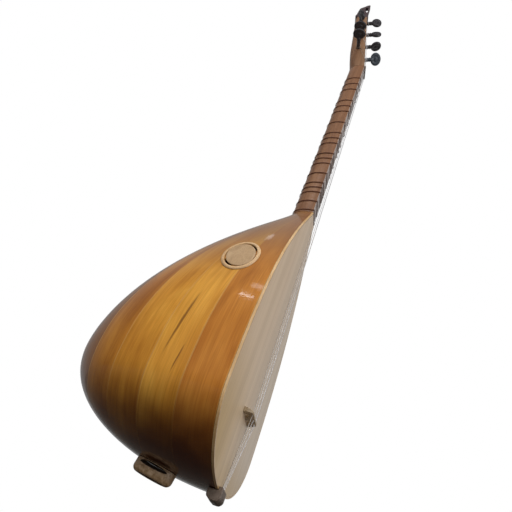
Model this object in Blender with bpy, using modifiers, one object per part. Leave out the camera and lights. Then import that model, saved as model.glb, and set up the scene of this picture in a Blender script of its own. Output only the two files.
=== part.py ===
"""Short-necked baglama: staved bowl, soundboard, neck, head, pegs, strings, frets and fittings.

Units are metres and +Z runs along the neck towards the head. The soundboard faces -Y, and the
side pegs point to -X. The origin is on the flat end face of the tailpiece.
"""
import math

import bpy
import bmesh
import numpy as np
from mathutils import Matrix, Vector

# Clearances
GAP = 0.0003
HALF_GAP = GAP / 2
SCRIBE_GAP = 0.00035

# Bowl and soundboard
FORM_LENGTH = 0.400
FORM_HALF_WIDTH = 0.1255
WIDEST_Z = 0.0750
TAIL_ROUNDNESS = 2.14
SHOULDER_CURVE = 2.54
SHOULDER_FALL = 1.15
BOWL_DEPTH = 0.2135
DEEPEST_Z = 0.1090
KEEL_ROUNDNESS = 2.20
KEEL_CURVE = 1.83
KEEL_FALL = 1.25
STAVE_THICKNESS = 0.0030
SEAM_LEVELS = (0.0, 0.20, 0.40, 0.60, 0.78, 0.93)
STAVE_STEPS = 22
STAVE_FACETS = 3
KEEL_FACETS = 6
BOARD_THICKNESS = 0.0027
BINDING_WIDTH = 0.0025
BINDING_THICKNESS = 0.0028
BRACE_PLACES = (0.375, 0.6875)
BRACE_WIDTH = 0.008
BRACE_HEIGHT = 0.012
BRACE_END_HEIGHT = 0.004
BRACE_END_LENGTH = 0.020
BRACE_END_SPACE = 0.006
NECK_BLOCK_LENGTH = 0.045
TAIL_BLOCK_LENGTH = 0.024
TAIL_BLOCK_DEPTH = 0.030
TAIL_BLOCK_HALF_WIDTH = 0.040
TAIL_BLOCK_BEVEL = 0.004

# Neck and nut
LAST_FRET_SPACE = 0.0042
NECK_HALF_WIDTH_JOINT = 0.0165
NECK_HALF_WIDTH_NUT = 0.0135
NECK_DEPTH_JOINT = 0.0300
NECK_DEPTH_NUT = 0.0265
NECK_FRONT = -0.0022
NECK_CHAMFER = 0.0010
NECK_SIDE = 0.0020
TENON_LENGTH = 0.022
TENON_HALF_WIDTH = 0.0060
TENON_FRONT = 0.0040
TENON_BACK = 0.0180
NUT_THICKNESS = 0.0040
NUT_SEAT = 0.0020
NUT_TOP = -0.0048

# Head
HEAD_LEAN = math.radians(8.9)
HEAD_DROP = 0.0004
HEAD_LENGTH = 0.1965
HEAD_THICKNESS = (0.0285, 0.0303, 0.0249)
HEAD_SWELL = 0.0585
HEAD_NARROWING = 0.0300
HEAD_HALF_WIDTH = 0.0112
HEAD_HALF_WIDTH_TOP = 0.0095
HEAD_CHAMFER = 0.0025
HEAD_SQUARENESS = 0.50
SCROLL_RISE = 0.0690
SCROLL_TIP = 0.0062
SCROLL_LIP = 0.0030
SCROLL_SLOT_LOW = 0.0300
SCROLL_SLOT_TOP = 0.0530
SCROLL_SLOT_WIDTH = 0.0054
SCROLL_TIP_NARROWING = 0.0068

# Pegs
PEG_FIRST = 0.0465
PEG_SPACING = 0.0479
PEG_RISE = math.radians(10.0)
PEG_RADIUS_FACE = 0.0033
PEG_RADIUS_TIP = 0.0027
PEG_STEM_RADIUS = 0.0036
FRONT_KNOB_REACH = 0.0215
SIDE_KNOB_REACHES = (0.0300, 0.0215, 0.0205)
KNOB_HALF_LENGTH = 0.0103
KNOB_HALF_WIDTH = 0.0125
KNOB_THICKNESS = 0.0052
BUTTON_RADIUS = 0.0042
BUTTON_RISE = 0.0008
FRONT_KNOB_TURNS = tuple(math.radians(a) for a in (-30.0, 20.0, 78.0, 97.0))
SIDE_KNOB_TURNS = tuple(math.radians(a) for a in (0.0, 8.0, -58.0))
PEG_SIDES = 12

# Strings and bridge
BRIDGE_Z = 0.0850
BRIDGE_HALF_LENGTH = 0.0245
BRIDGE_THICKNESS = 0.0060
BRIDGE_TOP_THICKNESS = 0.0026
BRIDGE_HEIGHT = 0.0108
BRIDGE_END_HEIGHT = 0.0035
BRIDGE_LEVEL_SHARE = 0.76
BRIDGE_FOOT = 0.0075
BRIDGE_ARCH = 0.0043
STRING_RADIUS = 0.0002
STRING_PLACES_NUT = (-0.874, -0.741, -0.104, 0.044, 0.593, 0.726, 0.859)
STRING_PLACES_BRIDGE = (-0.673, -0.583, -0.066, 0.033, 0.498, 0.588, 0.677)
STRING_SPACING_TAIL = 0.0024
SIDE_RUN_FIRST = 0.0260
SIDE_RUN_DROP = 0.0300
SIDE_RUN_TURN = 0.0120
TURNS_ON_PEG = 3.5
TURN_POINTS = 12
TURN_PITCH = 0.00085
WINDING_START = 0.0018
NOTCH_DEPTH = 0.0010
BRIDGE_NOTCH_SPARE = 0.0002

# Tailpiece
TAILPIECE_HALF_WIDTH = 0.0125
TAILPIECE_LENGTH = 0.0116
TAILPIECE_FRONT = -0.0083
TAILPIECE_BACK = 0.0080
TAILPIECE_LIP = 0.0035
TAILPIECE_NOSE = 0.0036
TAILPIECE_FLAT = 0.0020
TAILPIECE_HEEL = 0.0085
TAILPIECE_ROUND = 0.0022
GROOVE_END = -0.0020
GROOVE_WIDTH = 0.0011
GROOVE_DEPTH = 0.0030

# Frets
FRET_CENTS = (100, 150, 200, 300, 350, 400, 500, 600, 650, 700,
              800, 850, 900, 1000, 1100, 1150, 1200, 1300, 1400)
FRET_WIDTH = 0.0022
FRET_THICKNESS = 0.0007
FRET_VALLEY = 0.00035

# Sound hole in the tail, its oval collar and the collar's window on the player's side
TAIL_HOLE_DOWN = 0.340
TAIL_HOLE = (0.0185, 0.0062)
COLLAR = (0.0246, 0.0122)
COLLAR_HEIGHT = 0.0144
COLLAR_ROUND = 0.0060
WINDOW = (0.0172, 0.0027)
WINDOW_RISE = 0.0034

# Rosette on the side, its place as shares of the form's length and of the depth there
ROSETTE_ALONG = 0.587
ROSETTE_DOWN = 0.271
ROSETTE_TILT = math.radians(8.5)
ROSETTE_OUTER = (0.0303, 0.0234)
ROSETTE_INNER = (0.0258, 0.0192)
MEDALLION = (0.0241, 0.0178)
MEDALLION_TURN = math.radians(10.0)
ROSETTE_HEIGHT = 0.0020
MEDALLION_HEIGHT = 0.0017
ROSETTE_PORT = (0.0240, 0.0150)
ROSETTE_PORT_TURN = math.radians(-25.0)

PLATE_SINK = 0.0120
SLICE_STEPS = 60
FLAT_LIMIT = 0.3


# Values that follow from the sizes above
FRETTED_SHARE = 1 - 2 ** (-FRET_CENTS[-1] / 1200)
NECK_LENGTH = ((FORM_LENGTH - BRIDGE_Z) * FRETTED_SHARE + LAST_FRET_SPACE) / (1 - FRETTED_SHARE)
NUT_Z = FORM_LENGTH + NECK_LENGTH
HEAD_Z = NUT_Z + NUT_THICKNESS + GAP
SCALE_LENGTH = NUT_Z - BRIDGE_Z
BOARD_FRONT = -GAP - BOARD_THICKNESS
BRIDGE_TOP = BOARD_FRONT - GAP - BRIDGE_HEIGHT
STRING_Y_NUT = NUT_TOP + NOTCH_DEPTH
STRING_Y_BRIDGE = BRIDGE_TOP + NOTCH_DEPTH
STRING_DEPTH_TAIL = GROOVE_DEPTH - STRING_RADIUS - GAP
STRINGS_AT_NUT = [place * NECK_HALF_WIDTH_NUT for place in STRING_PLACES_NUT]
STRINGS_AT_BRIDGE = [place * BRIDGE_HALF_LENGTH for place in STRING_PLACES_BRIDGE]
STRINGS_AT_TAIL = [(number - 3) * STRING_SPACING_TAIL for number in range(7)]
FORM_Z = TAILPIECE_LENGTH


# Scene, collections and materials

for old in list(bpy.data.objects):
    bpy.data.objects.remove(old, do_unlink=True)


def new_collection(name):
    """A fresh collection linked to the scene."""
    group = bpy.data.collections.new(name)
    bpy.context.scene.collection.children.link(group)
    return group


PARTS = new_collection("baglama")
CUTTERS = new_collection("cutters")

instrument = bpy.data.objects.new("instrument", None)
instrument.location = (0.0, 0.0, FORM_Z)
PARTS.objects.link(instrument)


def principled(name, colour, roughness, metallic=0.0):
    """A plain Principled material in the part's colour."""
    finish = bpy.data.materials.new(name)
    finish.use_nodes = True
    shader = finish.node_tree.nodes["Principled BSDF"]
    shader.inputs["Base Color"].default_value = (*colour, 1.0)
    shader.inputs["Roughness"].default_value = roughness
    shader.inputs["Metallic"].default_value = metallic
    finish.diffuse_color = (*colour, 1.0)
    return finish


def part_object(name, data, finish):
    """Link a sub-part's data to the parts collection under the instrument's empty."""
    part = bpy.data.objects.new(name, data)
    part.parent = instrument
    data.materials.append(finish)
    PARTS.objects.link(part)
    return part


def cutter_object(name, data):
    """Link a cutter, which the model itself doesn't show."""
    cutter = bpy.data.objects.new(name, data)
    cutter.parent = instrument
    cutter.hide_render = True
    cutter.display_type = "WIRE"
    CUTTERS.objects.link(cutter)
    return cutter


def cut(target, cutter, operation="DIFFERENCE"):
    """Cut a part with a cutter, or join the cutter's shape to it."""
    step = target.modifiers.new(cutter.name, "BOOLEAN")
    step.operation = operation
    step.solver = "EXACT"
    step.object = cutter


def finished_mesh(bm, name, smooth_angle=None):
    """Turn a bmesh into a mesh with its faces pointing out."""
    bmesh.ops.recalc_face_normals(bm, faces=bm.faces)
    mesh = bpy.data.meshes.new(name)
    bm.to_mesh(mesh)
    bm.free()
    if smooth_angle is not None:
        mesh.shade_smooth()
        mesh.set_sharp_from_angle(angle=smooth_angle)
    return mesh


def loft_mesh(name, rings, closed=False, smooth_angle=math.radians(40)):
    """A skin through rings of points with equal counts, capped at both ends unless it closes."""
    bm = bmesh.new()
    rows = [[bm.verts.new(point) for point in ring] for ring in rings]
    count = len(rows[0])
    pairs = list(zip(rows, rows[1:] + rows[:1])) if closed else list(zip(rows, rows[1:]))
    for first, second in pairs:
        for i in range(count):
            j = (i + 1) % count
            bm.faces.new((first[i], first[j], second[j], second[i]))
    if not closed:
        bm.faces.new(rows[0])
        bm.faces.new(rows[-1])
    return finished_mesh(bm, name, smooth_angle)


def outline_mesh(name, loops, thickness):
    """A flat outline in the XY plane, with holes for further loops, as a slab centred on it."""
    curve = bpy.data.curves.new(name, "CURVE")
    curve.dimensions = "2D"
    curve.fill_mode = "BOTH"
    curve.extrude = thickness / 2
    for loop in loops:
        spline = curve.splines.new("POLY")
        spline.points.add(len(loop) - 1)
        for point, (x, y) in zip(spline.points, loop):
            point.co = (x, y, 0.0, 1.0)
        spline.use_cyclic_u = True
    holder = bpy.data.objects.new(name, curve)
    CUTTERS.objects.link(holder)
    bpy.context.view_layer.update()
    graph = bpy.context.evaluated_depsgraph_get()
    mesh = bpy.data.meshes.new_from_object(holder.evaluated_get(graph))
    bpy.data.objects.remove(holder)
    bpy.data.curves.remove(curve)
    bm = bmesh.new()
    bm.from_mesh(mesh)
    bpy.data.meshes.remove(mesh)
    bmesh.ops.remove_doubles(bm, verts=bm.verts, dist=1e-6)
    return finished_mesh(bm, name)


def lies_in(mesh, columns, place):
    """Turn a flat mesh so that its X, Y and Z lie along the three columns, and move it."""
    turn = Matrix(columns).transposed().to_4x4()
    mesh.transform(Matrix.Translation(place) @ turn)
    if turn.determinant() < 0:
        mesh.flip_normals()
    return mesh


X_AXIS = Vector((1.0, 0.0, 0.0))
Y_AXIS = Vector((0.0, 1.0, 0.0))
Z_AXIS = Vector((0.0, 0.0, 1.0))


# The bowl's surface

def half_width(z):
    """Half the soundboard's width at a height above the tail."""
    if z < WIDEST_Z:
        below = (WIDEST_Z - z) / WIDEST_Z
        return FORM_HALF_WIDTH * (1 - below ** TAIL_ROUNDNESS) ** (1 / TAIL_ROUNDNESS)
    above = min((z - WIDEST_Z) / (FORM_LENGTH - WIDEST_Z), 1.0)
    fall = (1 - above ** SHOULDER_CURVE) ** SHOULDER_FALL
    return NECK_HALF_WIDTH_JOINT + (FORM_HALF_WIDTH - NECK_HALF_WIDTH_JOINT) * fall


def upper_depth(z):
    """The keel's depth above its deepest place, and that greatest depth below it."""
    above = min(max((z - DEEPEST_Z) / (FORM_LENGTH - DEEPEST_Z), 0.0), 1.0)
    return NECK_DEPTH_JOINT + (BOWL_DEPTH - NECK_DEPTH_JOINT) * (1 - above ** KEEL_CURVE) ** KEEL_FALL


def bowl_depth(z):
    """The bowl's depth behind the soundboard at a height above the tail."""
    if z < DEEPEST_Z:
        below = (DEEPEST_Z - z) / DEEPEST_Z
        return BOWL_DEPTH * (1 - below ** KEEL_ROUNDNESS) ** (1 / KEEL_ROUNDNESS)
    return upper_depth(z)


def tail_height(depth):
    """Where the keel, going round the tail, reaches a depth."""
    share = min(depth / BOWL_DEPTH, 1.0)
    return DEEPEST_Z * (1 - (1 - share ** KEEL_ROUNDNESS) ** (1 / KEEL_ROUNDNESS))


def outward(x, y, z):
    """The bowl's outward direction at a point of its surface."""
    z = min(max(z, 1e-9), FORM_LENGTH - 1e-5)
    step = z * 1e-3
    high = min(z + step, FORM_LENGTH)
    low = z - step
    wide, deep = half_width(z), bowl_depth(z)
    wide_slope = (half_width(high) - half_width(low)) / (high - low)
    deep_slope = (bowl_depth(high) - bowl_depth(low)) / (high - low)
    lean = -(x / wide) ** 2 * wide_slope / wide - (y / deep) ** 2 * deep_slope / deep
    return Vector((x / wide ** 2, y / deep ** 2, lean)).normalized()


def side_x(y, z):
    """How far the bowl reaches sideways at a depth and a height."""
    return half_width(z) * math.sqrt(max(0.0, 1 - (y / bowl_depth(z)) ** 2))


def surface_height(x, y):
    """The height of the tail's surface over a point, found by halving."""
    low, high = 1e-9, min(WIDEST_Z, DEEPEST_Z)
    for _ in range(60):
        middle = (low + high) / 2
        inside = (x / half_width(middle)) ** 2 + (y / bowl_depth(middle)) ** 2 < 1
        low, high = (low, middle) if inside else (middle, high)
    return high


def along(share):
    """Spacing of the rings along the bowl, close together at the tail."""
    return 1 - math.cos(share * math.pi / 2)


# Staves

def stave_ring(outer):
    """A stave's cross-section: its outer points and the same points moved in by its thickness."""
    inner = [point - outward(*point) * STAVE_THICKNESS for point in outer]
    return outer + inner[::-1]


def side_stave(low_level, high_level, side):
    """A stave of one side, which ends at the middle of the tail and at the neck."""
    low_shift = HALF_GAP if low_level > 0 else 0.0
    rings = []
    for i in range(STAVE_STEPS + 1):
        outer = []
        for j in range(STAVE_FACETS + 1):
            share = j / STAVE_FACETS
            level = low_level + (high_level - low_level) * share
            shift = low_shift + (-HALF_GAP - low_shift) * share
            start = max(tail_height(level * BOWL_DEPTH + shift), 1e-9)
            z = start + (FORM_LENGTH - start) * along(i / STAVE_STEPS)
            y = level * upper_depth(z) + shift
            outer.append(Vector((side * max(HALF_GAP, side_x(y, z)), y, z)))
        rings.append(stave_ring(outer))
    return rings


def keel_stave(level):
    """The middle stave, a long leaf from just above the tail to the neck."""
    start = tail_height(level * BOWL_DEPTH + HALF_GAP) + STAVE_THICKNESS / 2
    rings = []
    for i in range(STAVE_STEPS + 1):
        z = start + (FORM_LENGTH - start) * along(i / STAVE_STEPS)
        edge = math.asin(min(1.0, (level * upper_depth(z) + HALF_GAP) / bowl_depth(z)))
        outer = []
        for j in range(KEEL_FACETS + 1):
            turn = edge + (math.pi - 2 * edge) * j / KEEL_FACETS
            outer.append(Vector((-half_width(z) * math.cos(turn), bowl_depth(z) * math.sin(turn), z)))
        rings.append(stave_ring(outer))
    return rings


stave_wood = principled("stave_wood", (0.42, 0.18, 0.045), 0.22)
staves = {}
for number, levels in enumerate(zip(SEAM_LEVELS, SEAM_LEVELS[1:]), start=1):
    for word, side in (("left", -1), ("right", 1)):
        stave_name = f"stave_{number}_{word}"
        stave_mesh = loft_mesh(stave_name, side_stave(*levels, side), smooth_angle=math.radians(35))
        staves[stave_name] = part_object(stave_name, stave_mesh, stave_wood.copy())
keel_mesh = loft_mesh("stave_keel", keel_stave(SEAM_LEVELS[-1]), smooth_angle=math.radians(35))
staves["stave_keel"] = part_object("stave_keel", keel_mesh, stave_wood.copy())


# A solid just outside the bowl, which shapes the backs of the plates that sit on it

def bowl_core(clearance):
    """The bowl as one solid, grown by a clearance."""
    rings = []
    for i in range(1, SLICE_STEPS + 1):
        z = FORM_LENGTH * (0.97 * along(i / SLICE_STEPS))
        ring = []
        for j in range(37):
            turn = math.pi * j / 36
            point = Vector((-half_width(z) * math.cos(turn), bowl_depth(z) * math.sin(turn), z))
            ring.append(point + outward(*point) * clearance)
        rings.append(ring)
    return rings


core = cutter_object("bowl_core", loft_mesh("bowl_core", bowl_core(SCRIBE_GAP)))


def bowl_frame(point):
    """A frame on the bowl's surface: two directions along it, the first up the neck if it can, and out."""
    out = outward(*point)
    first = Z_AXIS - out * out.dot(Z_AXIS)
    if first.length < FLAT_LIMIT:
        first = Y_AXIS - out * out.dot(Y_AXIS)
    first.normalize()
    return first, out.cross(first), out


# Soundboard, binding and braces

def edge_loop(inset, steps=26):
    """The form's outline moved in by an inset, from the neck down one side and up the other."""
    side = []
    for i in range(steps + 1):
        z = FORM_LENGTH * along(i / steps)
        out = outward(half_width(max(z, 1e-9)), 0.0, z)
        x = half_width(max(z, 1e-9)) - out.x * inset
        side.append((max(x, 0.0), z - out.z * inset))
    top = FORM_LENGTH - HALF_GAP
    side = [(x, min(z, top)) for x, z in side]
    side[0] = (0.0, inset)
    return side + [(-x, z) for x, z in side[:0:-1]]


def front_slab(name, loops, front, thickness, finish):
    """A slab in the soundboard's plane whose front face lies at a given Y."""
    mesh = outline_mesh(name, loops, thickness)
    lies_in(mesh, (X_AXIS, Z_AXIS, -Y_AXIS), Vector((0.0, front + thickness / 2, 0.0)))
    return part_object(name, mesh, finish)


spruce = principled("spruce", (0.56, 0.44, 0.28), 0.50)
front_slab("soundboard", [edge_loop(BINDING_WIDTH + GAP)], BOARD_FRONT, BOARD_THICKNESS, spruce)


def binding_loop():
    """The binding's outline: out along the form's edge and back along its inner side."""
    outer = edge_loop(0.0)
    inner = edge_loop(BINDING_WIDTH)
    half = len(outer) // 2 + 1
    right_out, left_out = outer[:half], outer[half:]
    right_in, left_in = inner[:half], inner[half:]
    return left_out + right_out + right_in[::-1] + left_in[::-1]


maple = principled("maple_binding", (0.72, 0.52, 0.33), 0.35)
front_slab("edge_binding", [binding_loop()], -GAP - BINDING_THICKNESS, BINDING_THICKNESS, maple)

for number, share in enumerate(BRACE_PLACES, start=1):
    place = share * FORM_LENGTH
    reach = half_width(place) - STAVE_THICKNESS - BRACE_END_SPACE
    full = reach - BRACE_END_LENGTH
    profile = [(-reach, 0.0), (reach, 0.0), (reach, BRACE_END_HEIGHT), (full, BRACE_HEIGHT),
               (-full, BRACE_HEIGHT), (-reach, BRACE_END_HEIGHT)]
    brace_mesh = outline_mesh(f"brace_{number}", [profile], BRACE_WIDTH)
    brace_mesh.transform(Matrix.Translation((0.0, 0.0, place)))
    part_object(f"brace_{number}", brace_mesh, spruce.copy())


# Blocks inside the bowl

block_wood = principled("block_wood", (0.50, 0.36, 0.20), 0.60)
block_inset = STAVE_THICKNESS + 4 * GAP


def neck_block():
    """A solid that fills the bowl's upper end behind the soundboard."""
    top = FORM_LENGTH - 2 * GAP
    rings = []
    for i in range(7):
        z = top - NECK_BLOCK_LENGTH * (1 - i / 6)
        ring = []
        for j in range(13):
            turn = math.pi * j / 12
            wide = half_width(z) - block_inset
            deep = bowl_depth(z) - block_inset * 1.25
            ring.append(Vector((-wide * math.cos(turn), deep * math.sin(turn), z)))
        rings.append(ring)
    return rings


block = part_object("neck_block", loft_mesh("neck_block", neck_block()), block_wood)


def tail_block_loop():
    """The tail block's plan: the bowl's inside at the block's depth."""
    side = []
    for i in range(7):
        x = TAIL_BLOCK_HALF_WIDTH * i / 6
        point = (x, TAIL_BLOCK_DEPTH)
        side.append((x, surface_height(*point) + block_inset + GAP))
    top = TAIL_BLOCK_LENGTH
    side += [(TAIL_BLOCK_HALF_WIDTH, top - TAIL_BLOCK_BEVEL),
             (TAIL_BLOCK_HALF_WIDTH - TAIL_BLOCK_BEVEL, top)]
    return side + [(-x, z) for x, z in side[:0:-1]]


front_slab("tail_block", [tail_block_loop()], 0.0, TAIL_BLOCK_DEPTH, block_wood.copy())


# Neck

def neck_share(z):
    """How far along the neck a height lies, from 0 at the joint to 1 at the nut."""
    return (z - FORM_LENGTH) / NECK_LENGTH


def neck_size(z):
    """The neck's half width and depth at a height."""
    share = neck_share(z)
    wide = NECK_HALF_WIDTH_JOINT + (NECK_HALF_WIDTH_NUT - NECK_HALF_WIDTH_JOINT) * share
    deep = NECK_DEPTH_JOINT + (NECK_DEPTH_NUT - NECK_DEPTH_JOINT) * share
    return wide, deep


def stem_section(z, wide, front, back, chamfer, squareness=1.0, grow=0.0):
    """A flat-fronted section with a rounded back, grown outwards by an amount."""
    shoulder = front + NECK_SIDE - NECK_FRONT
    wide, front, back = wide + grow, front - grow, back + grow
    points = [Vector((-wide + chamfer, front, z)), Vector((wide - chamfer, front, z)),
              Vector((wide, front + chamfer, z))]
    for step in range(9):
        turn = math.pi * step / 8
        across = math.copysign(abs(math.cos(turn)) ** squareness, math.cos(turn))
        if step == 4:
            across = 0.0
        down = math.sin(turn) ** squareness if 0 < step < 8 else 0.0
        points.append(Vector((wide * across, shoulder + (back - shoulder) * down, z)))
    points.append(Vector((-wide, front + chamfer, z)))
    return points


def neck_section(z, grow=0.0):
    """The neck's section at a height."""
    wide, deep = neck_size(z)
    return stem_section(z, wide, NECK_FRONT, deep, NECK_CHAMFER, grow=grow)


def box_mesh(name, low, high):
    """A block between two corners."""
    bm = bmesh.new()
    bmesh.ops.create_cube(bm, size=1.0)
    size = [h - l for l, h in zip(low, high)]
    middle = [(h + l) / 2 for l, h in zip(low, high)]
    bmesh.ops.scale(bm, vec=size, verts=bm.verts)
    bmesh.ops.translate(bm, vec=middle, verts=bm.verts)
    return finished_mesh(bm, name)


neck_wood = principled("neck_wood", (0.30, 0.10, 0.035), 0.25)
neck_top = NUT_Z + NUT_THICKNESS
neck_rings = [neck_section(z) for z in np.linspace(FORM_LENGTH + GAP, neck_top, 4)]
neck = part_object("neck", loft_mesh("neck", neck_rings), neck_wood)

tenon_low = FORM_LENGTH - TENON_LENGTH
tenon = cutter_object("tenon", box_mesh(
    "tenon", (-TENON_HALF_WIDTH, TENON_FRONT, tenon_low),
    (TENON_HALF_WIDTH, TENON_BACK, FORM_LENGTH + TENON_LENGTH)))
cut(neck, tenon, "UNION")
mortise = cutter_object("mortise", box_mesh(
    "mortise", (-TENON_HALF_WIDTH - GAP, TENON_FRONT - GAP, tenon_low - GAP),
    (TENON_HALF_WIDTH + GAP, TENON_BACK + GAP, FORM_LENGTH + TENON_LENGTH)))
cut(block, mortise)

nut_floor = NECK_FRONT + NUT_SEAT
nut_seat = cutter_object("nut_seat", box_mesh(
    "nut_seat", (-NECK_HALF_WIDTH_JOINT, NECK_FRONT - NUT_THICKNESS, NUT_Z),
    (NECK_HALF_WIDTH_JOINT, nut_floor, neck_top + NUT_THICKNESS)))
cut(neck, nut_seat)


# Nut and bridge, cut from flat outlines with a notch for each string

def notched_top(places, height, width, depth):
    """Points along a top edge from right to left, dipping at each string."""
    points = []
    for x in sorted(places, reverse=True):
        points += [(x + width / 2, height(x + width / 2)), (x + width / 2, height(x) - depth),
                   (x - width / 2, height(x) - depth), (x - width / 2, height(x - width / 2))]
    return points


notch_width = 2 * (STRING_RADIUS + GAP)
notch_floor = NOTCH_DEPTH + STRING_RADIUS + GAP
nut_wide = NECK_HALF_WIDTH_NUT
nut_low = -(nut_floor - GAP)
nut_high = -NUT_TOP
nut_points = [(nut_wide, nut_low), (nut_wide, nut_high)]
nut_points += notched_top(STRINGS_AT_NUT, lambda x: nut_high, notch_width, notch_floor)
nut_points += [(-nut_wide, nut_high), (-nut_wide, nut_low)]
nut_mesh = outline_mesh("nut", [nut_points], NUT_THICKNESS - 2 * GAP)
lies_in(nut_mesh, (X_AXIS, -Y_AXIS, Z_AXIS), Vector((0.0, 0.0, NUT_Z + NUT_THICKNESS / 2)))
horn = principled("horn", (0.10, 0.065, 0.045), 0.35)
part_object("nut", nut_mesh, horn)


def bridge_crown(x):
    """The bridge's top edge, level in the middle and arched down to thin ends."""
    level = BRIDGE_LEVEL_SHARE * BRIDGE_HALF_LENGTH
    fall = max(0.0, (abs(x) - level) / (BRIDGE_HALF_LENGTH - level))
    return BRIDGE_HEIGHT - (BRIDGE_HEIGHT - BRIDGE_END_HEIGHT) * fall ** 2


def bridge_outline():
    """The bridge seen along the neck: three feet, an arched top and a notch for each string."""
    reach = BRIDGE_HALF_LENGTH
    start, end = BRIDGE_FOOT / 2, reach - BRIDGE_FOOT
    half = []
    for step in range(7):
        turn = math.pi * step / 6
        middle, half_span = (start + end) / 2, (end - start) / 2
        half.append((middle - half_span * math.cos(turn), BRIDGE_ARCH * math.sin(turn)))
    bottom = [(-x, y) for x, y in half[::-1]] + half
    top = [(reach * s, bridge_crown(reach * s)) for s in (1.0, 0.92, 0.82, 0.72)]
    strings = notched_top(STRINGS_AT_BRIDGE, bridge_crown, notch_width + 2 * BRIDGE_NOTCH_SPARE,
                          notch_floor + BRIDGE_NOTCH_SPARE)
    return ([(-reach, 0.0)] + bottom + [(reach, 0.0)] + top + strings
            + [(-x, y) for x, y in top[::-1]])


bridge_mesh = outline_mesh("bridge", [bridge_outline()], BRIDGE_THICKNESS)
for vertex in bridge_mesh.vertices:
    rise = min(vertex.co.y / BRIDGE_HEIGHT, 1.0)
    vertex.co.z *= 1 + (BRIDGE_TOP_THICKNESS / BRIDGE_THICKNESS - 1) * rise
lies_in(bridge_mesh, (X_AXIS, -Y_AXIS, Z_AXIS), Vector((0.0, BOARD_FRONT - GAP, BRIDGE_Z)))
bridge_wood = principled("bridge_wood", (0.55, 0.33, 0.15), 0.45)
part_object("bridge", bridge_mesh, bridge_wood)


# Tailpiece: a rounded block on the tail, grooved for the strings

def rounded_corners(corners, steps=3):
    """A closed outline from (across, up, radius) corners, those with a radius turned by short arcs."""
    loop = []
    count = len(corners)
    for i, (across, up, radius) in enumerate(corners):
        here = Vector((across, up))
        before = (Vector(corners[i - 1][:2]) - here).normalized()
        after = (Vector(corners[(i + 1) % count][:2]) - here).normalized()
        last = steps if radius > 0 else 0
        for step in range(last + 1):
            share = step / steps
            start, end = here + before * radius, here + after * radius
            bend = start * (1 - share) ** 2 + here * 2 * share * (1 - share) + end * share ** 2
            loop.append((bend.x, bend.y))
    return loop


lip_back = BOARD_FRONT - GAP
nose_z = TAILPIECE_NOSE - TAILPIECE_LENGTH
nose_y = TAILPIECE_FRONT + TAILPIECE_NOSE
tail_profile = rounded_corners(
    [(TAILPIECE_FRONT, TAILPIECE_LIP, TAILPIECE_ROUND), (TAILPIECE_FRONT, nose_z, TAILPIECE_ROUND),
     (nose_y, -TAILPIECE_LENGTH, TAILPIECE_ROUND), (TAILPIECE_FLAT, -TAILPIECE_LENGTH, 0.0),
     (TAILPIECE_BACK, -TAILPIECE_HEEL, TAILPIECE_ROUND), (TAILPIECE_BACK, -GAP, 0.0),
     (lip_back, -GAP, 0.0), (lip_back, TAILPIECE_LIP, 0.0)])
tailpiece_mesh = outline_mesh("tailpiece", [tail_profile], 2 * TAILPIECE_HALF_WIDTH)
lies_in(tailpiece_mesh, (Y_AXIS, Z_AXIS, X_AXIS), Vector((0.0, 0.0, 0.0)))
tailpiece_wood = principled("tailpiece_wood", (0.30, 0.16, 0.08), 0.40)
tailpiece = part_object("tailpiece", tailpiece_mesh, tailpiece_wood)


def along_nose(depth, top):
    """Points down the tailpiece's front, round its nose and along its end, at a depth inside it."""
    turn_in = depth * math.tan(math.pi / 8)
    return [(TAILPIECE_FRONT + depth, top), (TAILPIECE_FRONT + depth, nose_z + turn_in),
            (nose_y + turn_in, depth - TAILPIECE_LENGTH), (GROOVE_END, depth - TAILPIECE_LENGTH)]


outside = 0.002
groove_outline = (along_nose(GROOVE_DEPTH, TAILPIECE_LIP + outside)
                  + [(GROOVE_END, -TAILPIECE_LENGTH - outside),
                     (TAILPIECE_FRONT - outside, -TAILPIECE_LENGTH - outside),
                     (TAILPIECE_FRONT - outside, TAILPIECE_LIP + outside)])
for number, x in enumerate(STRINGS_AT_TAIL, start=1):
    groove_mesh = outline_mesh("groove", [groove_outline], GROOVE_WIDTH)
    lies_in(groove_mesh, (Y_AXIS, Z_AXIS, X_AXIS), Vector((x, 0.0, 0.0)))
    cut(tailpiece, cutter_object(f"groove_{number}", groove_mesh))


# Head

def head_front(z):
    """Y of the head's front face."""
    return NECK_FRONT + HEAD_DROP + math.tan(HEAD_LEAN) * (z - HEAD_Z)


def head_thickness(z):
    """The head swells a little behind the nut, then thins to its end."""
    rise = z - HEAD_Z
    start, swell, end = HEAD_THICKNESS
    if rise < HEAD_SWELL:
        return start + (swell - start) * math.sin(rise / HEAD_SWELL * math.pi / 2)
    return swell + (end - swell) * (rise - HEAD_SWELL) / (HEAD_LENGTH - HEAD_SWELL)


def head_half_width(z):
    """The head narrows quickly behind the nut and then slowly."""
    rise = z - HEAD_Z
    if rise < HEAD_NARROWING:
        return NECK_HALF_WIDTH_NUT + (HEAD_HALF_WIDTH - NECK_HALF_WIDTH_NUT) * rise / HEAD_NARROWING
    share = (rise - HEAD_NARROWING) / (HEAD_LENGTH - HEAD_NARROWING)
    return HEAD_HALF_WIDTH + (HEAD_HALF_WIDTH_TOP - HEAD_HALF_WIDTH) * share


def head_section(z):
    """The head's section, from the neck's round back to a squarer one."""
    share = min((z - HEAD_Z) / HEAD_NARROWING, 1.0)
    chamfer = NECK_CHAMFER + (HEAD_CHAMFER - NECK_CHAMFER) * share
    squareness = 1.0 + (HEAD_SQUARENESS - 1.0) * share
    front = head_front(z)
    return stem_section(z, head_half_width(z), front, front + head_thickness(z), chamfer, squareness)


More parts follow.
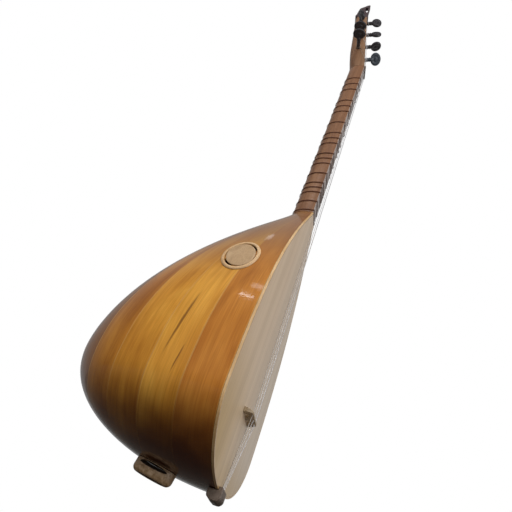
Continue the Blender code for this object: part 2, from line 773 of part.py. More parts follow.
head_steps = [HEAD_Z + HEAD_LENGTH * share for share in (0, 0.07, 0.153, 0.3, 0.5, 0.75, 1)]
head_wood = principled("head_wood", (0.36, 0.17, 0.07), 0.28)
head = part_object("head", loft_mesh("head", [head_section(z) for z in head_steps]), head_wood)

SCROLL_Z = HEAD_Z + HEAD_LENGTH + GAP


def scroll_outline():
    """The scroll's side: a back that curls over to a forward-pointing tip."""
    front = head_front(SCROLL_Z)
    back = front + head_thickness(HEAD_Z + HEAD_LENGTH)
    tip = front + SCROLL_TIP
    rise = SCROLL_RISE
    return [(front, 0.0), (front + 0.0006, rise * 0.17), (front + 0.0028, rise * 0.50),
            (front + 0.0034, rise * 0.84), (tip - 0.0012, rise), (tip + 0.0012, rise * 0.99),
            (tip + 0.0050, rise * 0.94), (tip + 0.0100, rise * 0.82), (back - 0.0016, rise * 0.68),
            (back, rise * 0.50), (back + 0.0008, rise * 0.22), (back, 0.0)]


def scroll_slot():
    """The wedge-shaped slot behind the scroll's thin front lip."""
    front = head_front(SCROLL_Z) + 0.0028
    low = front + SCROLL_LIP * 0.7
    top = front + SCROLL_LIP * 1.4
    return [(low, SCROLL_SLOT_LOW), (low + SCROLL_SLOT_WIDTH * 0.4, SCROLL_SLOT_LOW),
            (top + SCROLL_SLOT_WIDTH, SCROLL_SLOT_TOP), (top, SCROLL_SLOT_TOP)]


scroll_mesh = outline_mesh("scroll", [scroll_outline(), scroll_slot()], 2 * HEAD_HALF_WIDTH_TOP)
lies_in(scroll_mesh, (Y_AXIS, Z_AXIS, X_AXIS), Vector((0.0, 0.0, SCROLL_Z)))
for vertex in scroll_mesh.vertices:
    narrowing = SCROLL_TIP_NARROWING * (vertex.co.z - SCROLL_Z) / SCROLL_RISE
    vertex.co.x *= 1 - narrowing / HEAD_HALF_WIDTH_TOP
scroll_wood = principled("scroll_wood", (0.045, 0.022, 0.018), 0.35)
part_object("scroll", scroll_mesh, scroll_wood)


# Pegs

def turned_mesh(name, points, sides):
    """A turned solid about +Z, made with the Screw modifier from a profile at +X."""
    profile = bpy.data.meshes.new(name)
    edges = [(i, i + 1) for i in range(len(points) - 1)]
    profile.from_pydata([(radius, 0.0, height) for radius, height in points], edges, [])
    holder = bpy.data.objects.new(name, profile)
    CUTTERS.objects.link(holder)
    screw = holder.modifiers.new("turn", "SCREW")
    screw.steps = sides
    screw.render_steps = sides
    screw.use_merge_vertices = True
    screw.merge_threshold = 1e-6
    bpy.context.view_layer.update()
    graph = bpy.context.evaluated_depsgraph_get()
    mesh = bpy.data.meshes.new_from_object(holder.evaluated_get(graph))
    bpy.data.objects.remove(holder)
    bpy.data.meshes.remove(profile)
    bm = bmesh.new()
    bm.from_mesh(mesh)
    bpy.data.meshes.remove(mesh)
    bmesh.ops.remove_doubles(bm, verts=bm.verts, dist=1e-7)
    return finished_mesh(bm, name, math.radians(40))


peg_black = principled("peg_black", (0.02, 0.02, 0.025), 0.30)


def peg_frame(axis):
    """A frame with Z along a peg's axis and X pointing as far down the neck as it can."""
    down = -Z_AXIS + axis * axis.dot(Z_AXIS)
    down.normalize()
    return Matrix((down, axis.cross(down), axis)).transposed()


def make_peg(name, base, axis, depth, turn, reach):
    """A peg whose axis passes through a point of the head's face, with its hole in the head."""
    frame = peg_frame(axis)
    knob_start = reach - KNOB_HALF_LENGTH + 0.0012
    narrow = PEG_RADIUS_TIP
    shaft_points = [(0.0, reach), (0.0028, reach), (0.0034, knob_start + 0.0016),
                    (PEG_STEM_RADIUS + 0.0006, knob_start), (PEG_STEM_RADIUS, knob_start - 0.0012),
                    (PEG_RADIUS_FACE, 0.0006), (PEG_RADIUS_FACE, 0.0), (narrow, -depth), (0.0, -depth)]
    peg_mesh = turned_mesh(name, shaft_points, PEG_SIDES)
    knob_profile = [(0.0, BUTTON_RISE), (BUTTON_RADIUS * 0.8, BUTTON_RISE), (BUTTON_RADIUS, 0.0),
                    (KNOB_HALF_WIDTH * 0.86, 0.0002),
                    (KNOB_HALF_WIDTH, -0.0012)]
    half = KNOB_THICKNESS / 2
    upper = [(radius, half + height) for radius, height in knob_profile]
    lower = [(radius, -height) for radius, height in upper[::-1]]
    knob_mesh = turned_mesh(name + "_knob", upper + lower, PEG_SIDES + 6)
    squeeze = KNOB_HALF_LENGTH / KNOB_HALF_WIDTH
    knob_mesh.transform(Matrix.Diagonal((squeeze, 1.0, 1.0, 1.0)))
    knob_mesh.transform(Matrix.Rotation(math.pi / 2, 4, "Y"))
    knob_mesh.transform(Matrix.Rotation(turn, 4, "Z"))
    knob_mesh.transform(Matrix.Translation((0.0, 0.0, reach)))
    place = Matrix.Translation(base) @ frame.to_4x4()
    peg = part_object(name, peg_mesh, peg_black.copy())
    peg.matrix_local = place
    knob = cutter_object(name + "_knob", knob_mesh)
    knob.matrix_local = place
    cut(peg, knob, "UNION")
    past = 0.010
    slope = (PEG_RADIUS_FACE - narrow) / depth
    hole_points = [(0.0, past), (PEG_RADIUS_FACE + GAP + slope * past, past),
                   (narrow + GAP - slope * past, -depth - past), (0.0, -depth - past)]
    hole = cutter_object(name + "_hole", turned_mesh(name + "_hole", hole_points, PEG_SIDES))
    hole.matrix_local = place
    cut(head, hole)
    return frame


front_axis = Vector((0.0, -math.cos(HEAD_LEAN + PEG_RISE), math.sin(HEAD_LEAN + PEG_RISE)))
side_axis = Vector((-1.0, 0.0, 0.0))
pegs = []
for number, turn in enumerate(FRONT_KNOB_TURNS, start=1):
    z = NUT_Z + PEG_FIRST + PEG_SPACING * (number - 1)
    base = Vector((0.0, head_front(z), z))
    depth = head_thickness(z) * math.cos(HEAD_LEAN) / math.cos(PEG_RISE) - 0.001
    frame = make_peg(f"front_peg_{number}", base, front_axis, depth, turn, FRONT_KNOB_REACH)
    pegs.append((base, frame))
for number, (turn, reach) in enumerate(zip(SIDE_KNOB_TURNS, SIDE_KNOB_REACHES), start=1):
    z = NUT_Z + PEG_FIRST + PEG_SPACING * (2 * number - 1) / 2
    middle = head_front(z) + head_thickness(z) / 2
    base = Vector((-head_half_width(z), middle, z))
    depth = 2 * head_half_width(z) - 0.001
    frame = make_peg(f"side_peg_{number}", base, side_axis, depth, turn, reach)
    pegs.append((base, frame))


# Strings: each one tube from the tailpiece over the bridge and nut, and round its peg

winding_radius = PEG_STEM_RADIUS + STRING_RADIUS + GAP + 0.0001


def winding(peg, came_from):
    """Points of the turns round a peg, from where the string meets it towards the knob."""
    base, frame = peg
    local = frame.transposed() @ (came_from - base)
    away = math.hypot(local.x, local.y)
    meets = math.atan2(local.y, local.x) + math.acos(winding_radius / away)
    points = []
    for step in range(int(TURNS_ON_PEG * TURN_POINTS) + 1):
        share = step / TURN_POINTS
        turn = meets + 2 * math.pi * share
        offset = Vector((winding_radius * math.cos(turn), winding_radius * math.sin(turn),
                         WINDING_START + TURN_PITCH * share))
        points.append(base + frame @ offset)
    return points


def least_own_gap(points):
    """The least clear distance between turns of one winding."""
    places = np.array([list(point) for point in points])
    least = 1.0
    for i in range(len(places) - TURN_POINTS // 2):
        others = places[i + TURN_POINTS // 2:]
        least = min(least, float(np.linalg.norm(others - places[i], axis=1).min()))
    return least - 2 * STRING_RADIUS


def tube_object(name, points, radius, finish):
    """A round tube through points, with filled ends."""
    curve = bpy.data.curves.new(name, "CURVE")
    curve.dimensions = "3D"
    curve.bevel_depth = radius
    curve.bevel_resolution = 1
    curve.use_fill_caps = True
    spline = curve.splines.new("POLY")
    spline.points.add(len(points) - 1)
    for place, point in zip(spline.points, points):
        place.co = (*point, 1.0)
    return part_object(name, curve, finish)


def over_head(x, z, lift):
    """A point in front of the head."""
    return Vector((x, head_front(z) - lift, z))


def edge_point(z):
    """Where a string bends round the head's front left edge on its way to a side peg."""
    clear = STRING_RADIUS + GAP + 0.0004
    wide = head_half_width(z)
    return Vector((-wide - clear + HEAD_CHAMFER * 0.35, head_front(z) + HEAD_CHAMFER * 0.35 - clear, z))


def side_run(number):
    """The stretch from the nut round the head's edge to a side peg."""
    base = pegs[3 + number][0]
    if number == 1:
        return [edge_point(NUT_Z + SIDE_RUN_FIRST)]
    crossing = base.z - SIDE_RUN_DROP
    x = -head_half_width(crossing) + 0.0025 if number == 3 else -head_half_width(crossing)
    turn_in = over_head(-0.0070, NUT_Z + PEG_FIRST, 0.0022)
    before = over_head(x - 0.0006, crossing - SIDE_RUN_TURN, 0.0012)
    return ([turn_in] if number == 3 else []) + [before, edge_point(crossing)]


string_steel = principled("string_steel", (0.70, 0.70, 0.72), 0.25, 1.0)
front_order = {4: 0, 5: 1, 6: 2, 7: 3}
for number in range(1, 8):
    x_tail = STRINGS_AT_TAIL[number - 1]
    x_bridge = STRINGS_AT_BRIDGE[number - 1]
    x_nut = STRINGS_AT_NUT[number - 1]
    front, high_bend, low_bend, end = along_nose(STRING_DEPTH_TAIL, TAILPIECE_LIP + 0.001)
    route = [Vector((x_tail, end[0] - 2 * GAP, end[1])),
             Vector((x_tail, *low_bend)),
             Vector((x_tail, *high_bend)),
             Vector((x_tail, *front)),
             Vector((x_bridge, STRING_Y_BRIDGE, BRIDGE_Z)),
             Vector((x_nut, STRING_Y_NUT, NUT_Z)),
             Vector((x_nut, STRING_Y_NUT, NUT_Z + NUT_THICKNESS))]
    if number in front_order:
        peg = pegs[front_order[number]]
    else:
        peg = pegs[3 + number]
        route += side_run(number)
    turns = winding(peg, route[-1])
    print(f"string_{number}: least gap between turns {1000 * least_own_gap(turns):.2f} mm")
    tube_object(f"string_{number}", route + turns, STRING_RADIUS, string_steel.copy())


# Frets: bands of nylon line tied round the neck

def fret_rings(z):
    """A band round the neck whose outside shows three turns of line."""
    rings = []
    lines = ((GAP, -0.5), (GAP, 0.5), (GAP + FRET_THICKNESS, 0.38), (GAP + FRET_VALLEY, 0.19),
             (GAP + FRET_THICKNESS, 0.0), (GAP + FRET_VALLEY, -0.19), (GAP + FRET_THICKNESS, -0.38))
    sections = [neck_section(z, grow) for grow, _ in lines]
    for k in range(len(sections[0])):
        ring = []
        for section, (_, across) in zip(sections, lines):
            point = section[k].copy()
            point.z = z + across * FRET_WIDTH
            ring.append(point)
        rings.append(ring)
    return rings


fret_line = principled("fret_line", (0.10, 0.05, 0.03), 0.45)
for number, cents in enumerate(FRET_CENTS, start=1):
    z = NUT_Z - SCALE_LENGTH * (1 - 2 ** (-cents / 1200))
    fret_mesh = loft_mesh(f"fret_{number:02d}", fret_rings(z), closed=True)
    part_object(f"fret_{number:02d}", fret_mesh, fret_line.copy())


# Sound hole in the tail, with its collar

def oval(half_a, half_b, steps, turn=0.0):
    """An oval outline, its long direction turned from the first axis."""
    loop = []
    for k in range(steps):
        a, b = half_a * math.cos(2 * math.pi * k / steps), half_b * math.sin(2 * math.pi * k / steps)
        loop.append((a * math.cos(turn) - b * math.sin(turn), a * math.sin(turn) + b * math.cos(turn)))
    return loop


tail_hole_y = TAIL_HOLE_DOWN * BOWL_DEPTH
tail_point = Vector((0.0, tail_hole_y, tail_height(tail_hole_y)))
first, second, out = bowl_frame(tail_point)
tail_place = Matrix.Translation(tail_point) @ Matrix((first, second, out)).transposed().to_4x4()


def collar_profile():
    """The collar's side in its long direction, with a rounded outer edge."""
    reach, round_start = COLLAR[0], COLLAR_HEIGHT - COLLAR_ROUND
    points = [(0.0, COLLAR_HEIGHT)]
    for step in range(5):
        turn = math.pi / 2 * step / 4
        across, up = COLLAR_ROUND * (1 - math.sin(turn)), COLLAR_ROUND * math.cos(turn)
        points.append((reach - across, round_start + up))
    return points + [(reach, -PLATE_SINK / 2), (0.0, -PLATE_SINK / 2)]


collar_mesh = turned_mesh("tail_ring", collar_profile(), 28)
collar_mesh.transform(tail_place @ Matrix.Diagonal((1.0, COLLAR[1] / COLLAR[0], 1.0, 1.0)))
ring_wood = principled("ring_wood", (0.42, 0.27, 0.14), 0.45)
tail_ring = part_object("tail_ring", collar_mesh, ring_wood)
tail_ring.modifiers.new("flat_facets", "TRIANGULATE")

hole_mesh = outline_mesh("tail_hole", [oval(*TAIL_HOLE, 24)], 2 * (COLLAR_HEIGHT + outside))
hole_mesh.transform(tail_place)
tail_hole = cutter_object("tail_hole", hole_mesh)

window_mesh = outline_mesh("collar_window", [oval(*WINDOW, 20)], COLLAR[1] + outside)
lies_in(window_mesh, (X_AXIS, Z_AXIS, Y_AXIS), Vector((0.0, -(COLLAR[1] + outside) / 2, WINDOW_RISE)))
window_mesh.transform(tail_place)
cut(tail_ring, core)
cut(tail_ring, tail_hole)
cut(tail_ring, cutter_object("collar_window", window_mesh))

hole_low, hole_high = tail_hole_y - TAIL_HOLE[0], tail_hole_y + TAIL_HOLE[0]
for number, levels in enumerate(zip(SEAM_LEVELS, SEAM_LEVELS[1:]), start=1):
    if levels[0] * BOWL_DEPTH < hole_high and levels[1] * BOWL_DEPTH > hole_low:
        cut(staves[f"stave_{number}_left"], tail_hole)
        cut(staves[f"stave_{number}_right"], tail_hole)


# Rosette on the bowl's side

rosette_z = ROSETTE_ALONG * FORM_LENGTH
rosette_y = ROSETTE_DOWN * bowl_depth(rosette_z)
rosette_point = Vector((-side_x(rosette_y, rosette_z), rosette_y, rosette_z))
first, second, out = bowl_frame(rosette_point)
rosette_place = (Matrix.Translation(rosette_point) @ Matrix((first, second, out)).transposed().to_4x4()
                 @ Matrix.Rotation(ROSETTE_TILT, 4, "Z"))


def plate(name, loops, height, finish):
    """A thin plate that follows the bowl's side, between two grown copies of the bowl."""
    mesh = outline_mesh(name, loops, 2 * PLATE_SINK)
    mesh.transform(rosette_place)
    made = part_object(name, mesh, finish)
    cover = cutter_object(name + "_cover", loft_mesh(name + "_cover", bowl_core(height)))
    cut(made, cover, "INTERSECT")
    cut(made, core)


birch = principled("birch", (0.60, 0.43, 0.25), 0.50)
plate("rosette_ring", [oval(*ROSETTE_OUTER, 32), oval(*ROSETTE_INNER, 32)], ROSETTE_HEIGHT, birch)
plate("rosette_medallion", [oval(*MEDALLION, 28, MEDALLION_TURN)], MEDALLION_HEIGHT, birch.copy())

port_mesh = outline_mesh("rosette_port", [oval(*ROSETTE_PORT, 24, ROSETTE_PORT_TURN)], 2 * PLATE_SINK)
port_mesh.transform(rosette_place)
port = cutter_object("rosette_port", port_mesh)
for stave_name in ("stave_1_left", "stave_2_left"):
    cut(staves[stave_name], port)
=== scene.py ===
# %% [markdown]
# # A short-necked baglama
#
# This lesson dresses a baglama, a long lute with a bowl bent from staves, for a studio picture.
# The measured model is loaded first and stays where it is. Wherever its solids are coarser than
# the real wood, a finer piece stands in front of them, and every piece rides on a measured body,
# so the pegs still turn and the frets still slide.

# %% Load the measured model
import math

import bmesh
import bpy
import numpy as np
from mathutils import Matrix, Vector


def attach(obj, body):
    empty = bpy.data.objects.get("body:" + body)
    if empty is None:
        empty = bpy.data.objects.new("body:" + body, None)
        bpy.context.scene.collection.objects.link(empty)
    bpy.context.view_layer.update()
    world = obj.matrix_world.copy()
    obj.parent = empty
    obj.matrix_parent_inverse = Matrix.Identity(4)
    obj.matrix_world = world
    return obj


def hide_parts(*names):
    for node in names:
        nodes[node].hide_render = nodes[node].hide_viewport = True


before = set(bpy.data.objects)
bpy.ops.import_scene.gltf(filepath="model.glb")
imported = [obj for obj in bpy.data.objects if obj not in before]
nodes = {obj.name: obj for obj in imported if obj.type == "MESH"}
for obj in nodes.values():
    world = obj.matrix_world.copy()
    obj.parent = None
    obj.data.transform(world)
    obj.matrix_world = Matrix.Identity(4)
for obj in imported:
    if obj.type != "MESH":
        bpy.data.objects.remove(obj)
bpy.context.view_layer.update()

# %% [markdown]
# ## The camera
#
# The instrument is seen from low down and close to the bowl, so the bowl looks huge and the head
# tiny. A camera's place, aim and lens decide that together, and all three were fitted to the
# measured model's edges. Writing the aim as three directions keeps the roll exact.

# %% Camera
CAMERA_PLACE = Vector((-0.56724, -0.12334, -0.09386))
IMAGE_RIGHT = Vector((0.07551, -0.94704, 0.31211))
IMAGE_DOWN = Vector((0.62177, -0.19998, -0.75724))
LOOKING = Vector((0.77955, 0.25124, 0.57374))
FOCAL_PIXELS = 506.65
SENSOR_WIDTH = 36.0
IMAGE_WIDTH = 512

camera_data = bpy.data.cameras.new("camera")
camera_data.sensor_width = SENSOR_WIDTH
camera_data.lens = FOCAL_PIXELS * SENSOR_WIDTH / IMAGE_WIDTH
camera_data.clip_start = 0.01
camera = bpy.data.objects.new("camera", camera_data)
bpy.context.scene.collection.objects.link(camera)
aim = Matrix((IMAGE_RIGHT, -IMAGE_DOWN, -LOOKING)).transposed()
camera.matrix_world = Matrix.Translation(CAMERA_PLACE) @ aim.to_4x4()
bpy.context.scene.camera = camera
print("lens", round(camera_data.lens, 2), "mm")

# %% [markdown]
# ## Small tools of the bench
#
# A few helpers do most of the work: one puts a finished mesh into the scene in the place of a
# measured piece, one skins a row of outlines, one turns a profile as a lathe does, one fills a
# flat outline to a slab with soft edges, one draws a round line through points, and one cuts or
# joins solids. Every piece is drawn with its heights measured from the end of the bowl, and the
# first helper lifts it to the measured frame, whose zero is the lowest point of the tailpiece.

# %% Bench tools
FORM_Z = 0.0116
SMOOTH_BELOW = math.radians(38)
X_AXIS = Vector((1.0, 0.0, 0.0))
Y_AXIS = Vector((0.0, 1.0, 0.0))
Z_AXIS = Vector((0.0, 0.0, 1.0))


def show(name, mesh, finishes, stands_for, body="root", smooth=SMOOTH_BELOW):
    """Put a piece into the scene in the place of measured ones, riding on their body."""
    mesh.transform(Matrix.Translation(Z_AXIS * FORM_Z))
    mesh.shade_smooth()
    mesh.set_sharp_from_angle(angle=smooth)
    mesh.materials.clear()
    for made in finishes:
        mesh.materials.append(made)
    piece = bpy.data.objects.new(name, mesh)
    bpy.context.scene.collection.objects.link(piece)
    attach(piece, body)
    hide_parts(*stands_for)
    return piece


def mesh_from(bm, name):
    """Turn a bmesh into a mesh whose faces point out."""
    bmesh.ops.recalc_face_normals(bm, faces=bm.faces)
    mesh = bpy.data.meshes.new(name)
    bm.to_mesh(mesh)
    bm.free()
    return mesh


def skin(name, rings, closed=False):
    """Skin rings of points with equal counts and cap the ends, unless the rings close."""
    bm = bmesh.new()
    rows = [[bm.verts.new(point) for point in ring] for ring in rings]
    following = rows[1:] + rows[:1] if closed else rows[1:]
    for first, second in zip(rows, following):
        for i in range(len(first)):
            j = (i + 1) % len(first)
            bm.faces.new((first[i], first[j], second[j], second[i]))
    if not closed:
        bm.faces.new(rows[0])
        bm.faces.new(rows[-1])
    return mesh_from(bm, name)


def turned(name, profile, sides=48):
    """A solid turned about Z from points of radius and height, with flat ends."""
    turns = [2 * math.pi * k / sides for k in range(sides)]
    return skin(name, [[Vector((radius * math.cos(t), radius * math.sin(t), height)) for t in turns]
                       for radius, height in profile])


def helper(name, data):
    """An object that only lives while a shape is being made."""
    holder = bpy.data.objects.new(name, data)
    bpy.context.scene.collection.objects.link(holder)
    return holder


def settled(holder, name):
    """The final mesh of a helper object with all its modifiers, after which the helper goes."""
    bpy.context.view_layer.update()
    graph = bpy.context.evaluated_depsgraph_get()
    mesh = bpy.data.meshes.new_from_object(holder.evaluated_get(graph))
    mesh.name = name
    bpy.data.objects.remove(holder)
    return mesh


def slab(name, loops, thickness, bevel=0.0):
    """A flat outline in XY, with further loops as its holes, filled to a slab."""
    curve = bpy.data.curves.new(name, "CURVE")
    curve.dimensions = "2D"
    curve.fill_mode = "BOTH"
    curve.extrude = thickness / 2 - bevel
    curve.bevel_depth = bevel
    curve.bevel_resolution = 2
    curve.offset = -bevel
    for loop in loops:
        spline = curve.splines.new("POLY")
        spline.points.add(len(loop) - 1)
        for point, (x, y) in zip(spline.points, loop):
            point.co = (x, y, 0.0, 1.0)
        spline.use_cyclic_u = True
    mesh = settled(helper(name, curve), name)
    bm = bmesh.new()
    bm.from_mesh(mesh)
    bmesh.ops.remove_doubles(bm, verts=bm.verts, dist=1e-6)
    return mesh_from(bm, name)


def line_mesh(name, routes, radius, roundness=2):
    """Round line of one thickness through one or more rows of points."""
    curve = bpy.data.curves.new(name, "CURVE")
    curve.dimensions = "3D"
    curve.bevel_depth = radius
    curve.bevel_resolution = roundness
    curve.use_fill_caps = True
    for points, joined in routes:
        spline = curve.splines.new("POLY")
        spline.points.add(len(points) - 1)
        for place, point in zip(spline.points, points):
            place.co = (*point, 1.0)
        spline.use_cyclic_u = joined
    return settled(helper(name, curve), name)


def stand_up(mesh, across, up, out, place=(0.0, 0.0, 0.0)):
    """Lay a mesh's X, Y and Z along three directions and move it into place."""
    turn = Matrix((across, up, out)).transposed().to_4x4()
    mesh.transform(Matrix.Translation(place) @ turn)
    if turn.determinant() < 0:
        mesh.flip_normals()
    return mesh


def carve(mesh, name, tools, operation="DIFFERENCE"):
    """Cut meshes out of a mesh, or join them to it."""
    target = helper(name, mesh)
    held = []
    for number, tool in enumerate(tools):
        holder = helper(f"{name}_tool_{number}", tool)
        step = target.modifiers.new(f"step_{number}", "BOOLEAN")
        step.operation = operation
        step.solver = "EXACT"
        step.object = holder
        held.append(holder)
    result = settled(target, name)
    for holder in held:
        bpy.data.objects.remove(holder)
    return result


def block(name, low, high):
    """A plain block between two corners, for cutting and joining."""
    outline = [(low[0], low[1]), (high[0], low[1]), (high[0], high[1]), (low[0], high[1])]
    return skin(name, [[Vector((x, y, z)) for x, y in outline] for z in (low[2], high[2])])


def oval(half_a, half_b, steps=72, turn=0.0):
    """An oval outline, its long direction turned from the first axis."""
    loop = []
    for k in range(steps):
        a, b = half_a * math.cos(2 * math.pi * k / steps), half_b * math.sin(2 * math.pi * k / steps)
        loop.append((a * math.cos(turn) - b * math.sin(turn), a * math.sin(turn) + b * math.cos(turn)))
    return loop


def smooth_loop(corners, steps=6):
    """A closed curve that passes through all its corners."""
    loop = []
    count = len(corners)
    points = [Vector(corner) for corner in corners]
    for i in range(count):
        before, here, there, after = (points[(i + k) % count] for k in (-1, 0, 1, 2))
        for step in range(steps):
            t = step / steps
            bend = (here * 2 + (there - before) * t + (before * 2 - here * 5 + there * 4 - after) * t ** 2
                    + (here * 3 - before - there * 3 + after) * t ** 3) / 2
            loop.append((bend.x, bend.y))
    return loop


print("bench ready")

# %% [markdown]
# ## Finishes
#
# Every finish here is made of nodes. Wood is noise that is stretched far along the grain: a broad
# noise for the figure, a fine one for the fibres, and short dark dashes for the pores. A lacquer
# is the shader's coat. Each uniform number goes straight onto the shader's own socket.

# %% Node tools
LACQUER_IOR = 1.35


def finish(name, roughness=0.4, metallic=0.0, coat=0.0, coat_roughness=0.1, specular=0.5):
    """A new finish, its node tree and its shader."""
    made = bpy.data.materials.new(name)
    made.use_nodes = True
    tree = made.node_tree
    shader = tree.nodes["Principled BSDF"]
    shader.inputs["Roughness"].default_value = roughness
    shader.inputs["Metallic"].default_value = metallic
    shader.inputs["Coat Weight"].default_value = coat
    shader.inputs["Coat Roughness"].default_value = coat_roughness
    shader.inputs["Coat IOR"].default_value = LACQUER_IOR
    shader.inputs["Specular IOR Level"].default_value = specular
    return made, tree, shader


def stretched(tree, scale, source="Object", shift=(0.0, 0.0, 0.0), turn=(0.0, 0.0, 0.0)):
    """Coordinates scaled by different amounts along their axes."""
    mapping = tree.nodes.new("ShaderNodeMapping")
    mapping.inputs["Scale"].default_value = scale
    mapping.inputs["Location"].default_value = shift
    mapping.inputs["Rotation"].default_value = turn
    if source == "grain":
        origin = tree.nodes.new("ShaderNodeUVMap")
        origin.uv_map = "grain"
        tree.links.new(origin.outputs["UV"], mapping.inputs["Vector"])
    else:
        origin = tree.nodes.new("ShaderNodeTexCoord")
        tree.links.new(origin.outputs["Object"], mapping.inputs["Vector"])
    return mapping.outputs["Vector"]


def position(tree):
    """The X, Y and Z of the measured frame at a point of the surface."""
    origin = tree.nodes.new("ShaderNodeTexCoord")
    split = tree.nodes.new("ShaderNodeSeparateXYZ")
    tree.links.new(origin.outputs["Object"], split.inputs["Vector"])
    return split.outputs["X"], split.outputs["Y"], split.outputs["Z"]


def speckle(tree, vector, scale=1.0, detail=3.0, rough=0.55, warp=0.0):
    """Noise along a vector."""
    noise = tree.nodes.new("ShaderNodeTexNoise")
    noise.inputs["Scale"].default_value = scale
    noise.inputs["Detail"].default_value = detail
    noise.inputs["Roughness"].default_value = rough
    noise.inputs["Distortion"].default_value = warp
    tree.links.new(vector, noise.inputs["Vector"])
    return noise.outputs["Fac"]


def ramp(tree, value, stops):
    """Colours at places between 0 and 1."""
    node = tree.nodes.new("ShaderNodeValToRGB")
    band = node.color_ramp
    while len(band.elements) < len(stops):
        band.elements.new(0.5)
    for element, (place, colour) in zip(band.elements, stops):
        element.position = place
        element.color = (*colour, 1.0)
    tree.links.new(value, node.inputs["Fac"])
    return node.outputs["Color"]


def between(tree, low, high, value):
    """Where a value lies between two limits, from 0 to 1."""
    node = tree.nodes.new("ShaderNodeMapRange")
    node.interpolation_type = "SMOOTHSTEP"
    node.inputs["From Min"].default_value = low
    node.inputs["From Max"].default_value = high
    tree.links.new(value, node.inputs["Value"])
    return node.outputs["Result"]


def blend_colour(tree, share, first, second, kind="MIX"):
    """Mix two colours, each a socket or a plain colour."""
    node = tree.nodes.new("ShaderNodeMix")
    node.data_type = "RGBA"
    node.blend_type = kind
    for index, given in ((0, share), (6, first), (7, second)):
        if isinstance(given, (int, float)):
            node.inputs[index].default_value = given
        elif isinstance(given, tuple):
            node.inputs[index].default_value = (*given, 1.0)
        else:
            tree.links.new(given, node.inputs[index])
    return node.outputs[2]


def calculate(tree, kind, first, second=0.0):
    """One sum on two values, each a socket or a number."""
    node = tree.nodes.new("ShaderNodeMath")
    node.operation = kind
    for index, given in enumerate((first, second)):
        if isinstance(given, (int, float)):
            node.inputs[index].default_value = given
        else:
            tree.links.new(given, node.inputs[index])
    return node.outputs[0]


def relief(tree, shader, height, depth):
    """Raise the surface by a height value times a depth in metres."""
    bump = tree.nodes.new("ShaderNodeBump")
    bump.inputs["Strength"].default_value = 1.0
    bump.inputs["Distance"].default_value = depth
    tree.links.new(height, bump.inputs["Height"])
    tree.links.new(bump.outputs["Normal"], shader.inputs["Normal"])


def grain_colour(tree, tones, source="Object", seed=0.0, figure=(30.0, 30.0, 3.0),
                 fibre=(900.0, 900.0, 14.0)):
    """The colour of wood from three tones, with its figure and its fibres."""
    dark, middle, pale = tones
    shift = (seed, seed * 0.7, seed * 1.3)
    broad = speckle(tree, stretched(tree, figure, source, shift), detail=4.0, warp=0.6)
    colour = ramp(tree, broad, ((0.30, dark), (0.50, middle), (0.68, pale)))
    fine = speckle(tree, stretched(tree, fibre, source, shift), detail=2.0)
    veil = ramp(tree, fine, ((0.35, (0.80, 0.78, 0.75)), (0.60, (1.0, 1.0, 1.0))))
    return blend_colour(tree, 0.75, colour, veil, "MULTIPLY"), fine


def wood(name, tones, roughness=0.4, coat=0.0, seed=0.0, depth=0.00002, **scales):
    """A plain wood finish whose grain runs along Z."""
    made, tree, shader = finish(name, roughness, coat=coat, coat_roughness=0.12)
    colour, fine = grain_colour(tree, tones, seed=seed, **scales)
    tree.links.new(colour, shader.inputs["Base Color"])
    relief(tree, shader, fine, depth)
    return made


print("finishes ready")

# %% [markdown]
# ## The bowl's shape
#
# The bowl is half a pear. Seen from the front, its edge follows one curve; seen from the side, its
# keel follows another; and every slice across it is half an ellipse between the two. The same
# formula gives the staves, the plates that sit on them and the direction in which each faces.

# %% Bowl formula
FORM_LENGTH = 0.400
FORM_HALF_WIDTH = 0.12549
WIDEST_Z = 0.0750
TAIL_ROUNDNESS = 2.14
SHOULDER_CURVE = 2.54
SHOULDER_FALL = 1.15
NECK_HALF_WIDTH = 0.0165
BOWL_DEPTH = 0.21346
DEEPEST_Z = 0.1090
KEEL_ROUNDNESS = 2.20
KEEL_CURVE = 1.83
KEEL_FALL = 1.25
NECK_DEPTH = 0.0300


def half_width(z):
    """Half the soundboard's width at a height above the tail."""
    if z < WIDEST_Z:
        below = (WIDEST_Z - z) / WIDEST_Z
        return FORM_HALF_WIDTH * max(1 - below ** TAIL_ROUNDNESS, 0.0) ** (1 / TAIL_ROUNDNESS)
    above = min((z - WIDEST_Z) / (FORM_LENGTH - WIDEST_Z), 1.0)
    fall = (1 - above ** SHOULDER_CURVE) ** SHOULDER_FALL
    return NECK_HALF_WIDTH + (FORM_HALF_WIDTH - NECK_HALF_WIDTH) * fall


def upper_depth(z):
    """The keel's depth above its deepest place, and its greatest depth below that."""
    above = min(max((z - DEEPEST_Z) / (FORM_LENGTH - DEEPEST_Z), 0.0), 1.0)
    return NECK_DEPTH + (BOWL_DEPTH - NECK_DEPTH) * (1 - above ** KEEL_CURVE) ** KEEL_FALL


def bowl_depth(z):
    """The bowl's depth at a height above the tail."""
    if z < DEEPEST_Z:
        below = (DEEPEST_Z - z) / DEEPEST_Z
        return BOWL_DEPTH * max(1 - below ** KEEL_ROUNDNESS, 0.0) ** (1 / KEEL_ROUNDNESS)
    return upper_depth(z)


def tail_height(depth):
    """Where the keel, going round the tail, reaches a depth."""
    share = min(depth / BOWL_DEPTH, 1.0)
    return DEEPEST_Z * (1 - (1 - share ** KEEL_ROUNDNESS) ** (1 / KEEL_ROUNDNESS))


